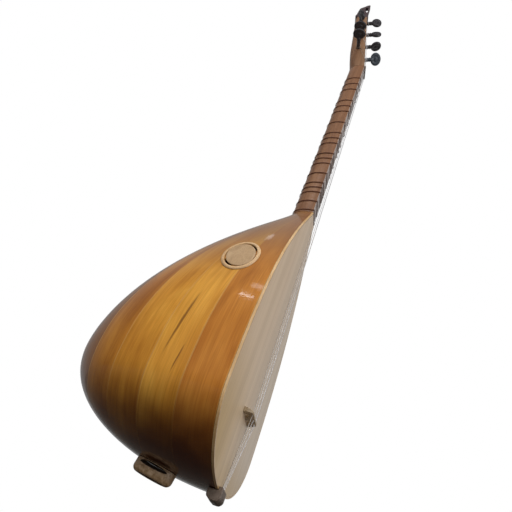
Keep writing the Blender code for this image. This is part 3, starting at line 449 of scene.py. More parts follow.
def outward(x, y, z):
    """The direction in which the bowl faces at a point."""
    z = min(max(z, 1e-9), FORM_LENGTH - 1e-5)
    high, low = min(z * 1.001, FORM_LENGTH), z * 0.999
    wide, deep = half_width(z), bowl_depth(z)
    wide_slope = (half_width(high) - half_width(low)) / (high - low)
    deep_slope = (bowl_depth(high) - bowl_depth(low)) / (high - low)
    lean = -(x / wide) ** 2 * wide_slope / wide - (y / deep) ** 2 * deep_slope / deep
    return Vector((x / wide ** 2, y / deep ** 2, lean)).normalized()


def side_x(y, z):
    """How far the bowl reaches sideways at a depth and a height."""
    return half_width(z) * math.sqrt(max(0.0, 1 - (y / bowl_depth(z)) ** 2))


def along(share):
    """Spacing along the bowl, close together at the tail."""
    return 1 - math.cos(share * math.pi / 2)


def is_inside(point):
    """Whether a point lies inside the bowl."""
    x, y, z = point
    if z <= 1e-6 or z >= FORM_LENGTH:
        return False
    return (x / half_width(z)) ** 2 + (y / bowl_depth(z)) ** 2 < 1


def drop(place, across, up, reach=0.03):
    """The point where a line, straight down onto a place on the bowl, meets the bowl."""
    high, low = reach / 2, -reach
    for _ in range(24):
        middle = (high + low) / 2
        if is_inside(place @ Vector((across, up, middle))):
            low = middle
        else:
            high = middle
    return place @ Vector((across, up, (high + low) / 2))


FLAT_LIMIT = 0.3


def bowl_place(point):
    """A frame on the bowl: its first direction is as upright as the surface allows."""
    out = outward(*point)
    first = Z_AXIS - out * out.dot(Z_AXIS)
    if first.length < FLAT_LIMIT:
        first = Y_AXIS - out * out.dot(Y_AXIS)
    first.normalize()
    turn = Matrix((first, out.cross(first), out)).transposed().to_4x4()
    return Matrix.Translation(point) @ turn


print("bowl", FORM_LENGTH, "m long and", 2 * FORM_HALF_WIDTH, "m wide")

# %% [markdown]
# ## Staves
#
# A bowl like this is glued up from bent staves, and a pale line shows at each joint. Each stave
# is skinned from slices that follow the joint lines. Two maps go onto it: one says how far a
# point lies across and along the stave, so that the grain runs along each stave, and the other
# how far it lies from the stave's edges, which draws the glue lines.

# %% Stave meshes
SEAM_LEVELS = (0.0, 0.20, 0.40, 0.60, 0.78, 0.93)
STAVE_THICKNESS = 0.0030
SEAM_GAP = 0.00015
SLICES = 88
ACROSS = 8
KEEL_ACROSS = 16


def slice_points(low_level, high_level, side, share):
    """The outer points of one slice of a side stave."""
    low_shift = SEAM_GAP / 2 if low_level > 0 else 0.0
    points = []
    for j in range(ACROSS + 1):
        part = j / ACROSS
        level = low_level + (high_level - low_level) * part
        shift = low_shift + (-SEAM_GAP / 2 - low_shift) * part
        start = max(tail_height(level * BOWL_DEPTH + shift), 1e-9)
        z = start + (FORM_LENGTH - start) * along(share)
        y = level * upper_depth(z) + shift
        points.append(Vector((side * max(SEAM_GAP / 2, side_x(y, z)), y, z)))
    return points


def keel_points(level, share):
    """The outer points of one slice of the keel stave."""
    start = tail_height(level * BOWL_DEPTH + SEAM_GAP / 2) + STAVE_THICKNESS / 4
    z = start + (FORM_LENGTH - start) * along(share)
    edge = math.asin(min(1.0, (level * upper_depth(z) + SEAM_GAP / 2) / bowl_depth(z)))
    points = []
    for j in range(KEEL_ACROSS + 1):
        turn = edge + (math.pi - 2 * edge) * j / KEEL_ACROSS
        points.append(Vector((-half_width(z) * math.cos(turn), bowl_depth(z) * math.sin(turn), z)))
    return points


def stave_mesh(name, slices):
    """A stave with its grain map and its edge map."""
    count = len(slices[0])
    rings, places = [], []
    run = 0.0
    for i, outer in enumerate(slices):
        if i:
            run += (outer[count // 2] - slices[i - 1][count // 2]).length
        steps = [0.0]
        for first, second in zip(outer, outer[1:]):
            steps.append(steps[-1] + (second - first).length)
        inner = [point - outward(*point) * STAVE_THICKNESS for point in outer]
        rings.append(outer + inner[::-1])
        row = [(s - steps[-1] / 2, run, s, steps[-1] - s) for s in steps]
        places.append(row + row[::-1])
    bm = bmesh.new()
    rows = [[bm.verts.new(point) for point in ring] for ring in rings]
    where = {}
    for row, place in zip(rows, places):
        for vertex, given in zip(row, place):
            where[vertex] = given
    for first, second in zip(rows, rows[1:]):
        for i in range(len(first)):
            j = (i + 1) % len(first)
            bm.faces.new((first[i], first[j], second[j], second[i]))
    bm.faces.new(rows[0])
    bm.faces.new(rows[-1])
    grain = bm.loops.layers.uv.new("grain")
    edges = bm.loops.layers.uv.new("edges")
    for face in bm.faces:
        for loop in face.loops:
            across, run, low, high = where[loop.vert]
            loop[grain].uv = (across, run)
            loop[edges].uv = (low, high)
    return mesh_from(bm, name)


print("stave slices", SLICES)

# %% [markdown]
# ## The lacquered stave finish
#
# The staves are a warm honey brown under a thick lacquer. They are darkest at the tail, partly from stain
# gathered there and partly from painted shade where the bowl turns away from the light, and the colour
# thins out towards the neck. The boards differ a little from each other, and two long dark flames run
# down the second and third stave. A clear coat gives the wet look, and its reflection grows towards the
# silhouette by itself.

# %% Stave finish
GLUE_LINE = 0.0009
GLUE_COLOUR = (0.60, 0.31, 0.080)
# The tail's colour is stain and painted shade together: the bowl there turns away from the light.
TAIL_STAIN_AND_SHADE = (0.066, 0.0085, 0.0006)
TAIL_DARK_FROM, TAIL_DARK_TO = 0.075, 0.006
NECK_STAIN = (0.20, 0.100, 0.052)
BACK_SHADE = (0.58, 0.50, 0.38)
FLAME_COLOUR = (0.10, 0.032, 0.008)
FLAME_DEPTH = 0.020


def flame(tree, start, end, half_across):
    """A long dark streak between two points of the bowl: 1 in its middle and 0 outside."""
    start, end = Vector(start), Vector(end)
    run, middle = end - start, (start + end) / 2
    length = run.length
    run.normalize()
    out = outward(*middle)
    out = (out - run * out.dot(run)).normalized()
    turn = Matrix((out.cross(run), out, run)).transposed()
    mapping = tree.nodes.new("ShaderNodeMapping")
    mapping.vector_type = "TEXTURE"
    mapping.inputs["Location"].default_value = middle + Z_AXIS * FORM_Z
    mapping.inputs["Rotation"].default_value = turn.to_euler()
    mapping.inputs["Scale"].default_value = (half_across, FLAME_DEPTH, length / 2)
    origin = tree.nodes.new("ShaderNodeTexCoord")
    tree.links.new(origin.outputs["Object"], mapping.inputs["Vector"])
    size = tree.nodes.new("ShaderNodeVectorMath")
    size.operation = "LENGTH"
    tree.links.new(mapping.outputs["Vector"], size.inputs[0])
    ragged = speckle(tree, stretched(tree, (500.0, 500.0, 60.0)), detail=3.0)
    distance = calculate(tree, "ADD", size.outputs["Value"], calculate(tree, "MULTIPLY", ragged, 0.5))
    return between(tree, 1.25, 0.55, distance)


def stave_finish(name, tones, seed, flames=()):
    """Honey lacquer over figured wood, with pale glue lines at the edges."""
    made, tree, shader = finish(name, 0.45, coat=1.0, coat_roughness=0.08, specular=0.12)
    colour, fine = grain_colour(tree, tones, "grain", seed, figure=(28.0, 6.0, 1.0),
                                fibre=(1100.0, 22.0, 1.0))
    lines = speckle(tree, stretched(tree, (190.0, 4.0, 1.0), "grain", (seed, 0.0, 4.0)), detail=4.0,
                    warp=0.4)
    stripe = ramp(tree, lines, ((0.36, (0.66, 0.52, 0.38)), (0.54, (1.0, 1.0, 1.0))))
    colour = blend_colour(tree, 0.32, colour, stripe, "MULTIPLY")
    cloud = speckle(tree, stretched(tree, (14.0, 14.0, 7.0), shift=(seed, 2.0, 0.0)), detail=2.0)
    shade = ramp(tree, cloud, ((0.38, (0.72, 0.60, 0.46)), (0.60, (1.0, 1.0, 1.0))))
    colour = blend_colour(tree, 0.8, colour, shade, "MULTIPLY")
    _, depth, height = position(tree)
    back_shade = ramp(tree, between(tree, 0.12, 0.20, depth), ((0.0, (1.0, 1.0, 1.0)), (1.0, BACK_SHADE)))
    colour = blend_colour(tree, 1.0, colour, back_shade, "MULTIPLY")
    wavy = calculate(tree, "ADD", height, calculate(tree, "MULTIPLY", cloud, 0.06))
    neck_end = between(tree, 0.18, 0.33, height)
    colour = blend_colour(tree, calculate(tree, "MULTIPLY", neck_end, 0.8), colour, NECK_STAIN)
    for start, end, half_across in flames:
        streak = flame(tree, start, end, half_across)
        colour = blend_colour(tree, calculate(tree, "MULTIPLY", streak, 0.7), colour, FLAME_COLOUR)
    # Painted shade and stain: the staves darken towards the tail along a wavy edge.
    overlay = between(tree, TAIL_DARK_FROM + 0.03, TAIL_DARK_TO + 0.03, wavy)
    colour = blend_colour(tree, calculate(tree, "MULTIPLY", overlay, 0.93), colour, TAIL_STAIN_AND_SHADE)
    edge_map = tree.nodes.new("ShaderNodeUVMap")
    edge_map.uv_map = "edges"
    sides = tree.nodes.new("ShaderNodeSeparateXYZ")
    tree.links.new(edge_map.outputs["UV"], sides.inputs["Vector"])
    nearest = calculate(tree, "MINIMUM", sides.outputs["X"], sides.outputs["Y"])
    line = between(tree, GLUE_LINE * 1.3, GLUE_LINE * 0.7, nearest)
    faint = calculate(tree, "MULTIPLY", between(tree, 0.30, 0.18, height),
                      between(tree, 0.03, 0.08, height))
    shown = calculate(tree, "ADD", calculate(tree, "MULTIPLY", faint, 0.50), 0.08)
    colour = blend_colour(tree, calculate(tree, "MULTIPLY", line, shown), colour, GLUE_COLOUR)
    tree.links.new(colour, shader.inputs["Base Color"])
    relief(tree, shader, fine, 0.000012)
    return made


HONEY = ((0.49, 0.195, 0.020), (0.66, 0.295, 0.036), (0.79, 0.40, 0.062))
AMBER = ((0.43, 0.160, 0.016), (0.58, 0.240, 0.028), (0.70, 0.31, 0.041))
RUSSET = ((0.42, 0.150, 0.020), (0.59, 0.235, 0.035), (0.72, 0.32, 0.056))
UMBER = ((0.25, 0.088, 0.010), (0.34, 0.132, 0.017), (0.43, 0.178, 0.025))
STAVE_TONES = {1: RUSSET, 2: HONEY, 3: HONEY, 4: AMBER, 5: UMBER}
FLAMES = {2: [((-0.1167, 0.0753, 0.0729), (-0.1151, 0.0640, 0.1800), 0.0022),
              ((-0.1183, 0.0577, 0.0606), (-0.1212, 0.0541, 0.1020), 0.0013)]}
print("stave tones", len(STAVE_TONES))

# %% Openings in the bowl
TAIL_HOLE_Y = 0.340 * BOWL_DEPTH
TAIL_HOLE = (0.0185, 0.0062)
ROSETTE_Z = 0.587 * FORM_LENGTH
ROSETTE_Y = 0.271 * bowl_depth(ROSETTE_Z)
ROSETTE_TILT = math.radians(8.5)
ROSETTE_PORT = (0.0240, 0.0150)
PORT_TURN = math.radians(-25.0)
CUT_REACH = 0.012

tail_place = bowl_place(Vector((0.0, TAIL_HOLE_Y, tail_height(TAIL_HOLE_Y))))
rosette_point = Vector((-side_x(ROSETTE_Y, ROSETTE_Z), ROSETTE_Y, ROSETTE_Z))
rosette_place = bowl_place(rosette_point) @ Matrix.Rotation(ROSETTE_TILT, 4, "Z")


def opening_tool(loop, place):
    """A cutter that goes right through a stave."""
    tool = slab("opening", [loop], 2 * CUT_REACH)
    tool.transform(place)
    return tool


def openings_of(number, side):
    """The cutters that a stave needs."""
    tools = []
    if number in (2, 3):
        tools.append(opening_tool(oval(*TAIL_HOLE), tail_place))
    if side < 0 and number in (1, 2):
        tools.append(opening_tool(oval(*ROSETTE_PORT, turn=PORT_TURN), rosette_place))
    return tools


print("openings: tail and side")

# %% Staves in place
seed = 1.0
for number, (low_level, high_level) in enumerate(zip(SEAM_LEVELS, SEAM_LEVELS[1:]), start=1):
    for word, side in (("left", -1), ("right", 1)):
        seed += 3.7
        name = f"bent_stave_{number}_{word}"
        slices = [slice_points(low_level, high_level, side, i / SLICES) for i in range(SLICES + 1)]
        mesh = stave_mesh(name, slices)
        tools = openings_of(number, side)
        if tools:
            mesh = carve(mesh, name, tools)
        flames = FLAMES.get(number, []) if side < 0 else []
        made = stave_finish(f"lacquer_{number}_{word}", STAVE_TONES[number], seed, flames)
        show(name, mesh, [made], [f"stave_{number}_{word}"])
keel = stave_mesh("bent_stave_keel", [keel_points(SEAM_LEVELS[-1], i / SLICES) for i in range(SLICES + 1)])
show("bent_stave_keel", keel, [stave_finish("lacquer_keel", UMBER, 50.0)], ["stave_keel"])
print("bowl glued up from 11 staves")

# %% [markdown]
# ## Soundboard and binding
#
# The soundboard is a thin flat plate of spruce with straight, close grain, and a strip of pale
# wood closes the joint between it and the bowl.

# %% Soundboard and binding
BOARD_BACK = -0.0003
BOARD_THICKNESS = 0.0027
BINDING_WIDTH = 0.0025
BINDING_THICKNESS = 0.0028


def edge_side(inset, steps=110):
    """The right half of the form's outline, from the tail to the neck, moved in by an inset."""
    side = []
    for i in range(steps + 1):
        z = FORM_LENGTH * along(i / steps)
        x = half_width(max(z, 1e-9))
        out = outward(x, 0.0, z)
        side.append((max(x - out.x * inset, 0.0), min(z - out.z * inset, FORM_LENGTH - 0.0002)))
    side[0] = (0.0, inset)
    return side


def on_front(name, loops, back, thickness, bevel):
    """A slab in the soundboard's plane with its back at a given Y."""
    mesh = slab(name, loops, thickness, bevel)
    return stand_up(mesh, X_AXIS, Z_AXIS, -Y_AXIS, Vector((0.0, back - thickness / 2, 0.0)))


def binding_outline():
    """Up the form's edge on one side, round the tail, up the other side, and back inside."""
    outer, inner = edge_side(0.0), edge_side(BINDING_WIDTH)
    outside = [(-x, z) for x, z in outer[::-1]] + outer[1:]
    inside = [(-x, z) for x, z in inner[::-1]] + inner[1:]
    return outside + inside[::-1]


spruce, tree, shader = finish("board_spruce", 0.45, coat=0.25, coat_roughness=0.30)
across, _, height = position(tree)
warmth = speckle(tree, stretched(tree, (22.0, 22.0, 3.0), shift=(0.0, 0.0, 6.0)), detail=3.0)
board_colour = ramp(tree, warmth, ((0.35, (0.78, 0.57, 0.38)), (0.65, (0.82, 0.63, 0.44))))
# Painted sheen: the board turns paler and greyer towards its far side.
far_side_sheen = calculate(tree, "MULTIPLY", between(tree, -0.10, 0.10, across), 0.7)
board_colour = blend_colour(tree, far_side_sheen, board_colour, (0.80, 0.70, 0.59))
# Darker and warmer towards the tail, most of all on the near side.
warm_tail_corner = calculate(tree, "MULTIPLY", between(tree, 0.17, 0.02, height), between(tree, 0.03, -0.11, across))
warm_tail_corner = calculate(tree, "MAXIMUM", warm_tail_corner, calculate(tree, "MULTIPLY", between(tree, 0.08, 0.01, height), 0.6))
board_colour = blend_colour(tree, calculate(tree, "MULTIPLY", warm_tail_corner, 0.9), board_colour, (0.58, 0.385, 0.145))
years = speckle(tree, stretched(tree, (520.0, 520.0, 2.0), shift=(2.0, 0.0, 0.0)), detail=1.0)
ring_lines = ramp(tree, years, ((0.42, (0.82, 0.79, 0.74)), (0.56, (1.0, 1.0, 1.0))))
board_colour = blend_colour(tree, 0.4, board_colour, ring_lines, "MULTIPLY")
broad = speckle(tree, stretched(tree, (90.0, 90.0, 1.5), shift=(5.0, 0.0, 0.0)), detail=3.0)
figure = ramp(tree, broad, ((0.35, (0.88, 0.86, 0.83)), (0.60, (1.0, 1.0, 1.0))))
board_colour = blend_colour(tree, 0.6, board_colour, figure, "MULTIPLY")
tree.links.new(board_colour, shader.inputs["Base Color"])
relief(tree, shader, years, 0.00002)

board_loop = edge_side(BINDING_WIDTH + 0.0001)
board_loop += [(-x, z) for x, z in board_loop[:0:-1]]
board = on_front("board", [board_loop], BOARD_BACK, BOARD_THICKNESS, 0.0)
show("board", board, [spruce], ["soundboard"])

maple = wood("binding_maple", ((0.58, 0.36, 0.16), (0.68, 0.44, 0.21), (0.76, 0.51, 0.26)), 0.3,
             coat=0.6, figure=(40.0, 40.0, 20.0))
binding = on_front("binding_strip", [binding_outline()], BOARD_BACK, BINDING_THICKNESS, 0.0)
show("binding_strip", binding, [maple], ["edge_binding"])
print("front closed")

# %% [markdown]
# ## Neck
#
# The neck is flat in front, where the frets' line crosses it, and round behind, where the hand
# slides. One formula gives its section at any height. It is also grown a little outwards later,
# to lead the fret line and its knots round the neck. A tenon holds it in the block inside the bowl.

# %% Neck section
NECK_LENGTH = 0.40158
NUT_Z = FORM_LENGTH + NECK_LENGTH
NUT_THICKNESS = 0.0040
NECK_TOP = NUT_Z + NUT_THICKNESS
NUT_HALF_WIDTH = 0.0135
NUT_NECK_DEPTH = 0.0265
NECK_FRONT = -0.0022
NECK_EDGE = 0.0010
SIDE_HEIGHT = 0.0042
NUT_FLOOR = -0.0002
JOINT_GAP = 0.0003
EDGE_STEPS = 3
BACK_STEPS = 28


def stem_section(z, wide, front, back, edge, squareness=1.0, grow=0.0):
    """A flat front with eased edges and a rounded back, grown outwards by an amount."""
    shoulder = front + SIDE_HEIGHT
    wide, front, back = wide + grow, front - grow, back + grow
    points = []
    for side, start in ((-1, math.pi), (1, 1.5 * math.pi)):
        for step in range(EDGE_STEPS + 1):
            turn = start + math.pi / 2 * step / EDGE_STEPS
            points.append(Vector((side * (wide - edge) + edge * math.cos(turn),
                                  front + edge + edge * math.sin(turn), z)))
    for step in range(BACK_STEPS + 1):
        turn = math.pi * step / BACK_STEPS
        across = math.copysign(abs(math.cos(turn)) ** squareness, math.cos(turn))
        down = max(math.sin(turn), 0.0) ** squareness
        points.append(Vector((wide * across, shoulder + (back - shoulder) * down, z)))
    return points


def neck_section(z, grow=0.0):
    """The neck's section at a height."""
    share = (z - FORM_LENGTH) / NECK_LENGTH
    wide = NECK_HALF_WIDTH + (NUT_HALF_WIDTH - NECK_HALF_WIDTH) * share
    deep = NECK_DEPTH + (NUT_NECK_DEPTH - NECK_DEPTH) * share
    return stem_section(z, wide, NECK_FRONT, deep, NECK_EDGE, grow=grow)


def under_nut(z):
    """The neck's section under the nut, where its front is cut away."""
    return [Vector((p.x, max(p.y, NUT_FLOOR), p.z)) for p in neck_section(z)]


print("neck section of", len(neck_section(NUT_Z)), "points")

# %% [markdown]
# ## Neck and head finish
#
# Both are one dark reddish wood under a worn lacquer. The front edge, where fingers rub, is
# lighter on the head, and the fingerboard face of the neck is a paler grey.

# %% Neck and head finish
STEM_TONES = ((0.15, 0.066, 0.031), (0.23, 0.108, 0.053), (0.30, 0.152, 0.078))
HEAD_TONES = ((0.14, 0.066, 0.033), (0.21, 0.108, 0.056), (0.27, 0.150, 0.082))
FACE_GREY = (0.42, 0.35, 0.32)


def stem_finish(name, tones, front_line, face, overlay, seed):
    """Lacquered wood whose front face, ahead of a line in the side view, has another colour."""
    made, tree, shader = finish(name, 0.42, coat=1.0, coat_roughness=0.24, specular=0.3)
    colour, fine = grain_colour(tree, tones, seed=seed, figure=(70.0, 70.0, 5.0))
    _, depth, height = position(tree)
    at_zero, slope = front_line
    ahead = calculate(tree, "SUBTRACT", depth, calculate(tree, "MULTIPLY", height, slope))
    low, high, share = face
    strip = between(tree, at_zero + high, at_zero + low, ahead)
    colour = blend_colour(tree, calculate(tree, "MULTIPLY", strip, share), colour, overlay)
    tree.links.new(colour, shader.inputs["Base Color"])
    relief(tree, shader, fine, 0.00002)
    return made


neck_finish = stem_finish("neck_lacquer", STEM_TONES, (NECK_FRONT, 0.0), (0.0004, 0.0010, 0.9),
                          FACE_GREY, 8.0)
tenon_wood = wood("tenon_wood", ((0.24, 0.14, 0.08), (0.30, 0.18, 0.10), (0.36, 0.22, 0.13)), 0.6)

neck_rings = [neck_section(z) for z in np.linspace(FORM_LENGTH + JOINT_GAP, NUT_Z, 12)]
neck_rings += [under_nut(NUT_Z), under_nut(NECK_TOP)]
tenon = block("tenon", (-0.0060, 0.0040, FORM_LENGTH - 0.0220), (0.0060, 0.0180, FORM_LENGTH + 0.0220))
neck_mesh = carve(skin("neck", neck_rings), "neck", [tenon], "UNION")
show("carved_neck", neck_mesh, [neck_finish], ["neck"])
print("neck", NECK_LENGTH, "m long")

# %% [markdown]
# ## Head
#
# The head goes on from the neck without a step, leans back behind the nut, narrows, and turns from
# a round to a squarer section. Seven tapered holes go through it for the pegs, bored with the same
# slope as the pegs' shafts, which is what makes such a peg hold by friction.

# %% Head formula
HEAD_LEAN = math.radians(8.9)
HEAD_Z = NECK_TOP + JOINT_GAP
HEAD_START = NECK_FRONT + 0.0004
HEAD_LENGTH = 0.1965
HEAD_THICKNESS = (0.0285, 0.0303, 0.0249)
HEAD_SWELL = 0.0585
HEAD_NARROWING = 0.0300
HEAD_HALF_WIDTH = 0.0112
HEAD_TOP_HALF_WIDTH = 0.0095
HEAD_EDGE = 0.0025
HEAD_SQUARENESS = 0.50


def head_front(z):
    """Y of the head's front face."""
    return HEAD_START + math.tan(HEAD_LEAN) * (z - HEAD_Z)


def head_thickness(z):
    """The head swells a little behind the nut, then thins to its end."""
    rise = z - HEAD_Z
    start, swell, end = HEAD_THICKNESS
    if rise < HEAD_SWELL:
        return start + (swell - start) * math.sin(rise / HEAD_SWELL * math.pi / 2)
    return swell + (end - swell) * (rise - HEAD_SWELL) / (HEAD_LENGTH - HEAD_SWELL)


def head_half_width(z):
    """The head narrows quickly behind the nut and then slowly."""
    rise = z - HEAD_Z
    if rise < HEAD_NARROWING:
        return NUT_HALF_WIDTH + (HEAD_HALF_WIDTH - NUT_HALF_WIDTH) * rise / HEAD_NARROWING
    share = (rise - HEAD_NARROWING) / (HEAD_LENGTH - HEAD_NARROWING)
    return HEAD_HALF_WIDTH + (HEAD_TOP_HALF_WIDTH - HEAD_HALF_WIDTH) * share


def head_section(z):
    """The head's section, from the neck's round back to a squarer one."""
    share = min((z - HEAD_Z) / HEAD_NARROWING, 1.0)
    edge = NECK_EDGE + (HEAD_EDGE - NECK_EDGE) * share
    squareness = 1.0 + (HEAD_SQUARENESS - 1.0) * share
    front = head_front(z)
    return stem_section(z, head_half_width(z), front, front + head_thickness(z), edge, squareness)


print("head", HEAD_LENGTH, "m long, leaning back", round(math.degrees(HEAD_LEAN), 1), "degrees")

# %% Peg places
PEG_FIRST = 0.0465
PEG_SPACING = 0.0479
PEG_RISE = math.radians(10.0)
PEG_RADIUS_FACE = 0.0033
PEG_RADIUS_TIP = 0.0027
PEG_STEM_RADIUS = 0.0036
FRONT_REACH = 0.0215
SIDE_REACHES = (0.0300, 0.0215, 0.0205)
FRONT_TURNS = (-30.0, 20.0, 78.0, 97.0)
SIDE_TURNS = (0.0, 8.0, -58.0)
FRONT_AXIS = Vector((0.0, -math.cos(HEAD_LEAN + PEG_RISE), math.sin(HEAD_LEAN + PEG_RISE)))
SIDE_AXIS = -X_AXIS


def peg_place(base, axis):
    """A frame at the head's face with Z along a peg's axis and X down the neck."""
    down = -Z_AXIS + axis * axis.dot(Z_AXIS)
    down.normalize()
    turn = Matrix((down, axis.cross(down), axis)).transposed().to_4x4()
    return Matrix.Translation(base) @ turn


pegs = {}
for number, turn in enumerate(FRONT_TURNS, start=1):
    z = NUT_Z + PEG_FIRST + PEG_SPACING * (number - 1)
    depth = head_thickness(z) * math.cos(HEAD_LEAN) / math.cos(PEG_RISE) - 0.001
    place = peg_place(Vector((0.0, head_front(z), z)), FRONT_AXIS)
    pegs[f"front_peg_{number}"] = (place, depth, turn, FRONT_REACH)
for number, (turn, reach) in enumerate(zip(SIDE_TURNS, SIDE_REACHES), start=1):
    z = NUT_Z + PEG_FIRST + PEG_SPACING * (number - 0.5)
    depth = 2 * head_half_width(z) - 0.001
    base = Vector((-head_half_width(z), head_front(z) + head_thickness(z) / 2, z))
    pegs[f"side_peg_{number}"] = (peg_place(base, SIDE_AXIS), depth, turn, reach)
print("peg places", len(pegs))

# %% Head, bored
PAST = 0.010
head_slices = list(np.linspace(0.0, HEAD_NARROWING, 9)) + list(np.linspace(0.036, HEAD_LENGTH, 22))
head_mesh = skin("head", [head_section(HEAD_Z + rise) for rise in head_slices])
bores = []
for name, (place, depth, turn, reach) in pegs.items():
    slope = (PEG_RADIUS_FACE - PEG_RADIUS_TIP) / depth
    bore = turned(name + "_bore", [(PEG_RADIUS_TIP + JOINT_GAP - slope * PAST, -depth - PAST),
                                   (PEG_RADIUS_FACE + JOINT_GAP + slope * PAST, PAST)], 28)
    bore.transform(place)
    bores.append(bore)
head_mesh = carve(head_mesh, "head", bores)
head_line = (HEAD_START - math.tan(HEAD_LEAN) * (HEAD_Z + FORM_Z), math.tan(HEAD_LEAN))
head_finish = stem_finish("head_lacquer", HEAD_TONES, head_line, (0.0030, 0.0085, 0.22),
                          (0.34, 0.22, 0.13), 5.0)
show("carved_head", head_mesh, [head_finish], ["head"])
print("head bored for", len(bores), "pegs")

# %% [markdown]
# ## Scroll
#
# A dark carved scroll ends the head: seen from the side it curls forward to a tip, with a long
# wedge-shaped slot behind its thin front lip. A smooth curve through a few points gives the side,
# a slab with rounded edges gives the body, and the whole narrows towards the tip.

# %% Scroll
SCROLL_Z = HEAD_Z + HEAD_LENGTH + JOINT_GAP
SCROLL_RISE = 0.0690
SCROLL_EDGE = 0.0016
SCROLL_NARROWING = 0.0068


def scroll_side():
    """The scroll's side, from its front corner up over the tip and down its back."""
    front = head_front(SCROLL_Z)
    back = front + head_thickness(HEAD_Z + HEAD_LENGTH)
    tip, rise = front + 0.0062, SCROLL_RISE
    corners = [(front + 0.0006, rise * 0.17), (front + 0.0028, rise * 0.50), (front + 0.0034, rise * 0.84),
               (tip - 0.0012, rise * 0.986), (tip + 0.0012, rise * 0.983), (tip + 0.0050, rise * 0.94),
               (tip + 0.0100, rise * 0.82), (back - 0.0016, rise * 0.68), (back, rise * 0.50),
               (back + 0.0006, rise * 0.22)]
    inner = smooth_loop([(front, 0.0)] + corners + [(back, 0.0)], 5)
    above = [point for point in inner if point[1] > 0.0005]
    return [(front, 0.0)] + above + [(back, 0.0)]


def scroll_slot():
    """The wedge-shaped slot behind the scroll's front lip, with round ends."""
    front = head_front(SCROLL_Z) + 0.0028
    low, top = front + 0.0021, front + 0.0042
    return smooth_loop([(low, 0.0302), (low + 0.0026, 0.0300), (top + 0.0054, 0.0525),
                        (top + 0.0040, 0.0531), (top, 0.0525)], 4)


scroll_mesh = slab("scroll", [scroll_side(), scroll_slot()], 2 * HEAD_TOP_HALF_WIDTH, SCROLL_EDGE)
stand_up(scroll_mesh, Y_AXIS, Z_AXIS, X_AXIS, (0.0, 0.0, SCROLL_Z))
for vertex in scroll_mesh.vertices:
    share = (vertex.co.z - SCROLL_Z) / SCROLL_RISE
    vertex.co.x *= 1 - SCROLL_NARROWING * share / HEAD_TOP_HALF_WIDTH
scroll_stain = wood("scroll_stain", ((0.050, 0.033, 0.035), (0.070, 0.047, 0.050), (0.095, 0.067, 0.070)),
                    0.42, coat=0.35, seed=2.0, figure=(24.0, 24.0, 10.0))
show("carved_scroll", scroll_mesh, [scroll_stain], ["scroll"])
print("scroll", SCROLL_RISE, "m high")

# %% [markdown]
# ## Pegs
#
# Each peg is turned on a lathe: a tapered shaft, a small collar below the grip, and a flat oval
# grip that carries a button and a fine ring on both faces. The grip is a turned disc that is
# squeezed to an oval, stood on edge and joined to the shaft. It rides on its own body, so it turns.

# %% Pegs
GRIP_HALF_LENGTH = 0.0103
GRIP_HALF_WIDTH = 0.0125
GRIP_FACE = ((0.0004, 0.00335), (0.0018, 0.00333), (0.0032, 0.00315), (0.0040, 0.00275),
             (0.0044, 0.00235), (0.0050, 0.00225), (0.0072, 0.00235), (0.0082, 0.00275),
             (0.0088, 0.00280), (0.0094, 0.00250), (0.0106, 0.00270), (0.0114, 0.00250),
             (0.0121, 0.00185), (0.0125, 0.00080))


def peg_mesh(name, place, depth, turn, reach):
    """A turned peg with its oval grip."""
    neck = reach - GRIP_HALF_LENGTH + 0.0012
    shaft = turned(name, [(PEG_RADIUS_TIP - 0.0004, -depth), (PEG_RADIUS_TIP, -depth + 0.0004),
                          (PEG_RADIUS_FACE, 0.0), (PEG_RADIUS_FACE, 0.0006),
                          (PEG_STEM_RADIUS, 0.0010), (PEG_STEM_RADIUS, neck - 0.0042),
                          (PEG_STEM_RADIUS + 0.0007, neck - 0.0036),
                          (PEG_STEM_RADIUS + 0.0007, neck - 0.0028), (PEG_STEM_RADIUS - 0.0002, neck - 0.0022),
                          (PEG_STEM_RADIUS + 0.0001, neck - 0.0008), (PEG_STEM_RADIUS + 0.0006, neck),
                          (0.0034, neck + 0.0016), (0.0026, neck + 0.0060)], 32)
    lower = [(radius, -height) for radius, height in GRIP_FACE]
    grip = turned(name + "_grip", lower + list(GRIP_FACE[::-1]), 56)
    grip.transform(Matrix.Diagonal((GRIP_HALF_LENGTH / GRIP_HALF_WIDTH, 1.0, 1.0, 1.0)))
    grip.transform(Matrix.Rotation(math.pi / 2, 4, "Y"))
    grip.transform(Matrix.Rotation(math.radians(turn), 4, "Z"))
    grip.transform(Matrix.Translation((0.0, 0.0, reach)))
    mesh = carve(shaft, name, [grip], "UNION")
    mesh.transform(place)
    return mesh


def peg_finish(name, dark, pale, roughness):
    """Polished dark wood."""
    made, tree, shader = finish(name, roughness, coat=0.5, coat_roughness=0.18)
    polish = speckle(tree, stretched(tree, (320.0, 320.0, 160.0)), detail=4.0)
    tree.links.new(ramp(tree, polish, ((0.35, dark), (0.75, pale))), shader.inputs["Base Color"])
    relief(tree, shader, polish, 0.00002)
    return made


ebony = peg_finish("peg_ebony", (0.024, 0.022, 0.025), (0.062, 0.056, 0.060), 0.34)
worn_ebony = peg_finish("peg_worn_ebony", (0.038, 0.050, 0.066), (0.075, 0.092, 0.115), 0.42)
for name, (place, depth, turn, reach) in pegs.items():
    made = worn_ebony if name == "front_peg_1" else ebony
    show("turned_" + name, peg_mesh(name, place, depth, turn, reach), [made], [name],
         name + "_body")
print(len(pegs), "pegs turned")

# %% [markdown]
# ## Strings
#
# Each string is one line of wire. It comes out of its groove in the tailpiece, goes over the
# bridge and the nut, and winds round its peg. The lowest course has wound strings, which look
# ribbed. The wire is drawn point by point and given its thickness by a curve.

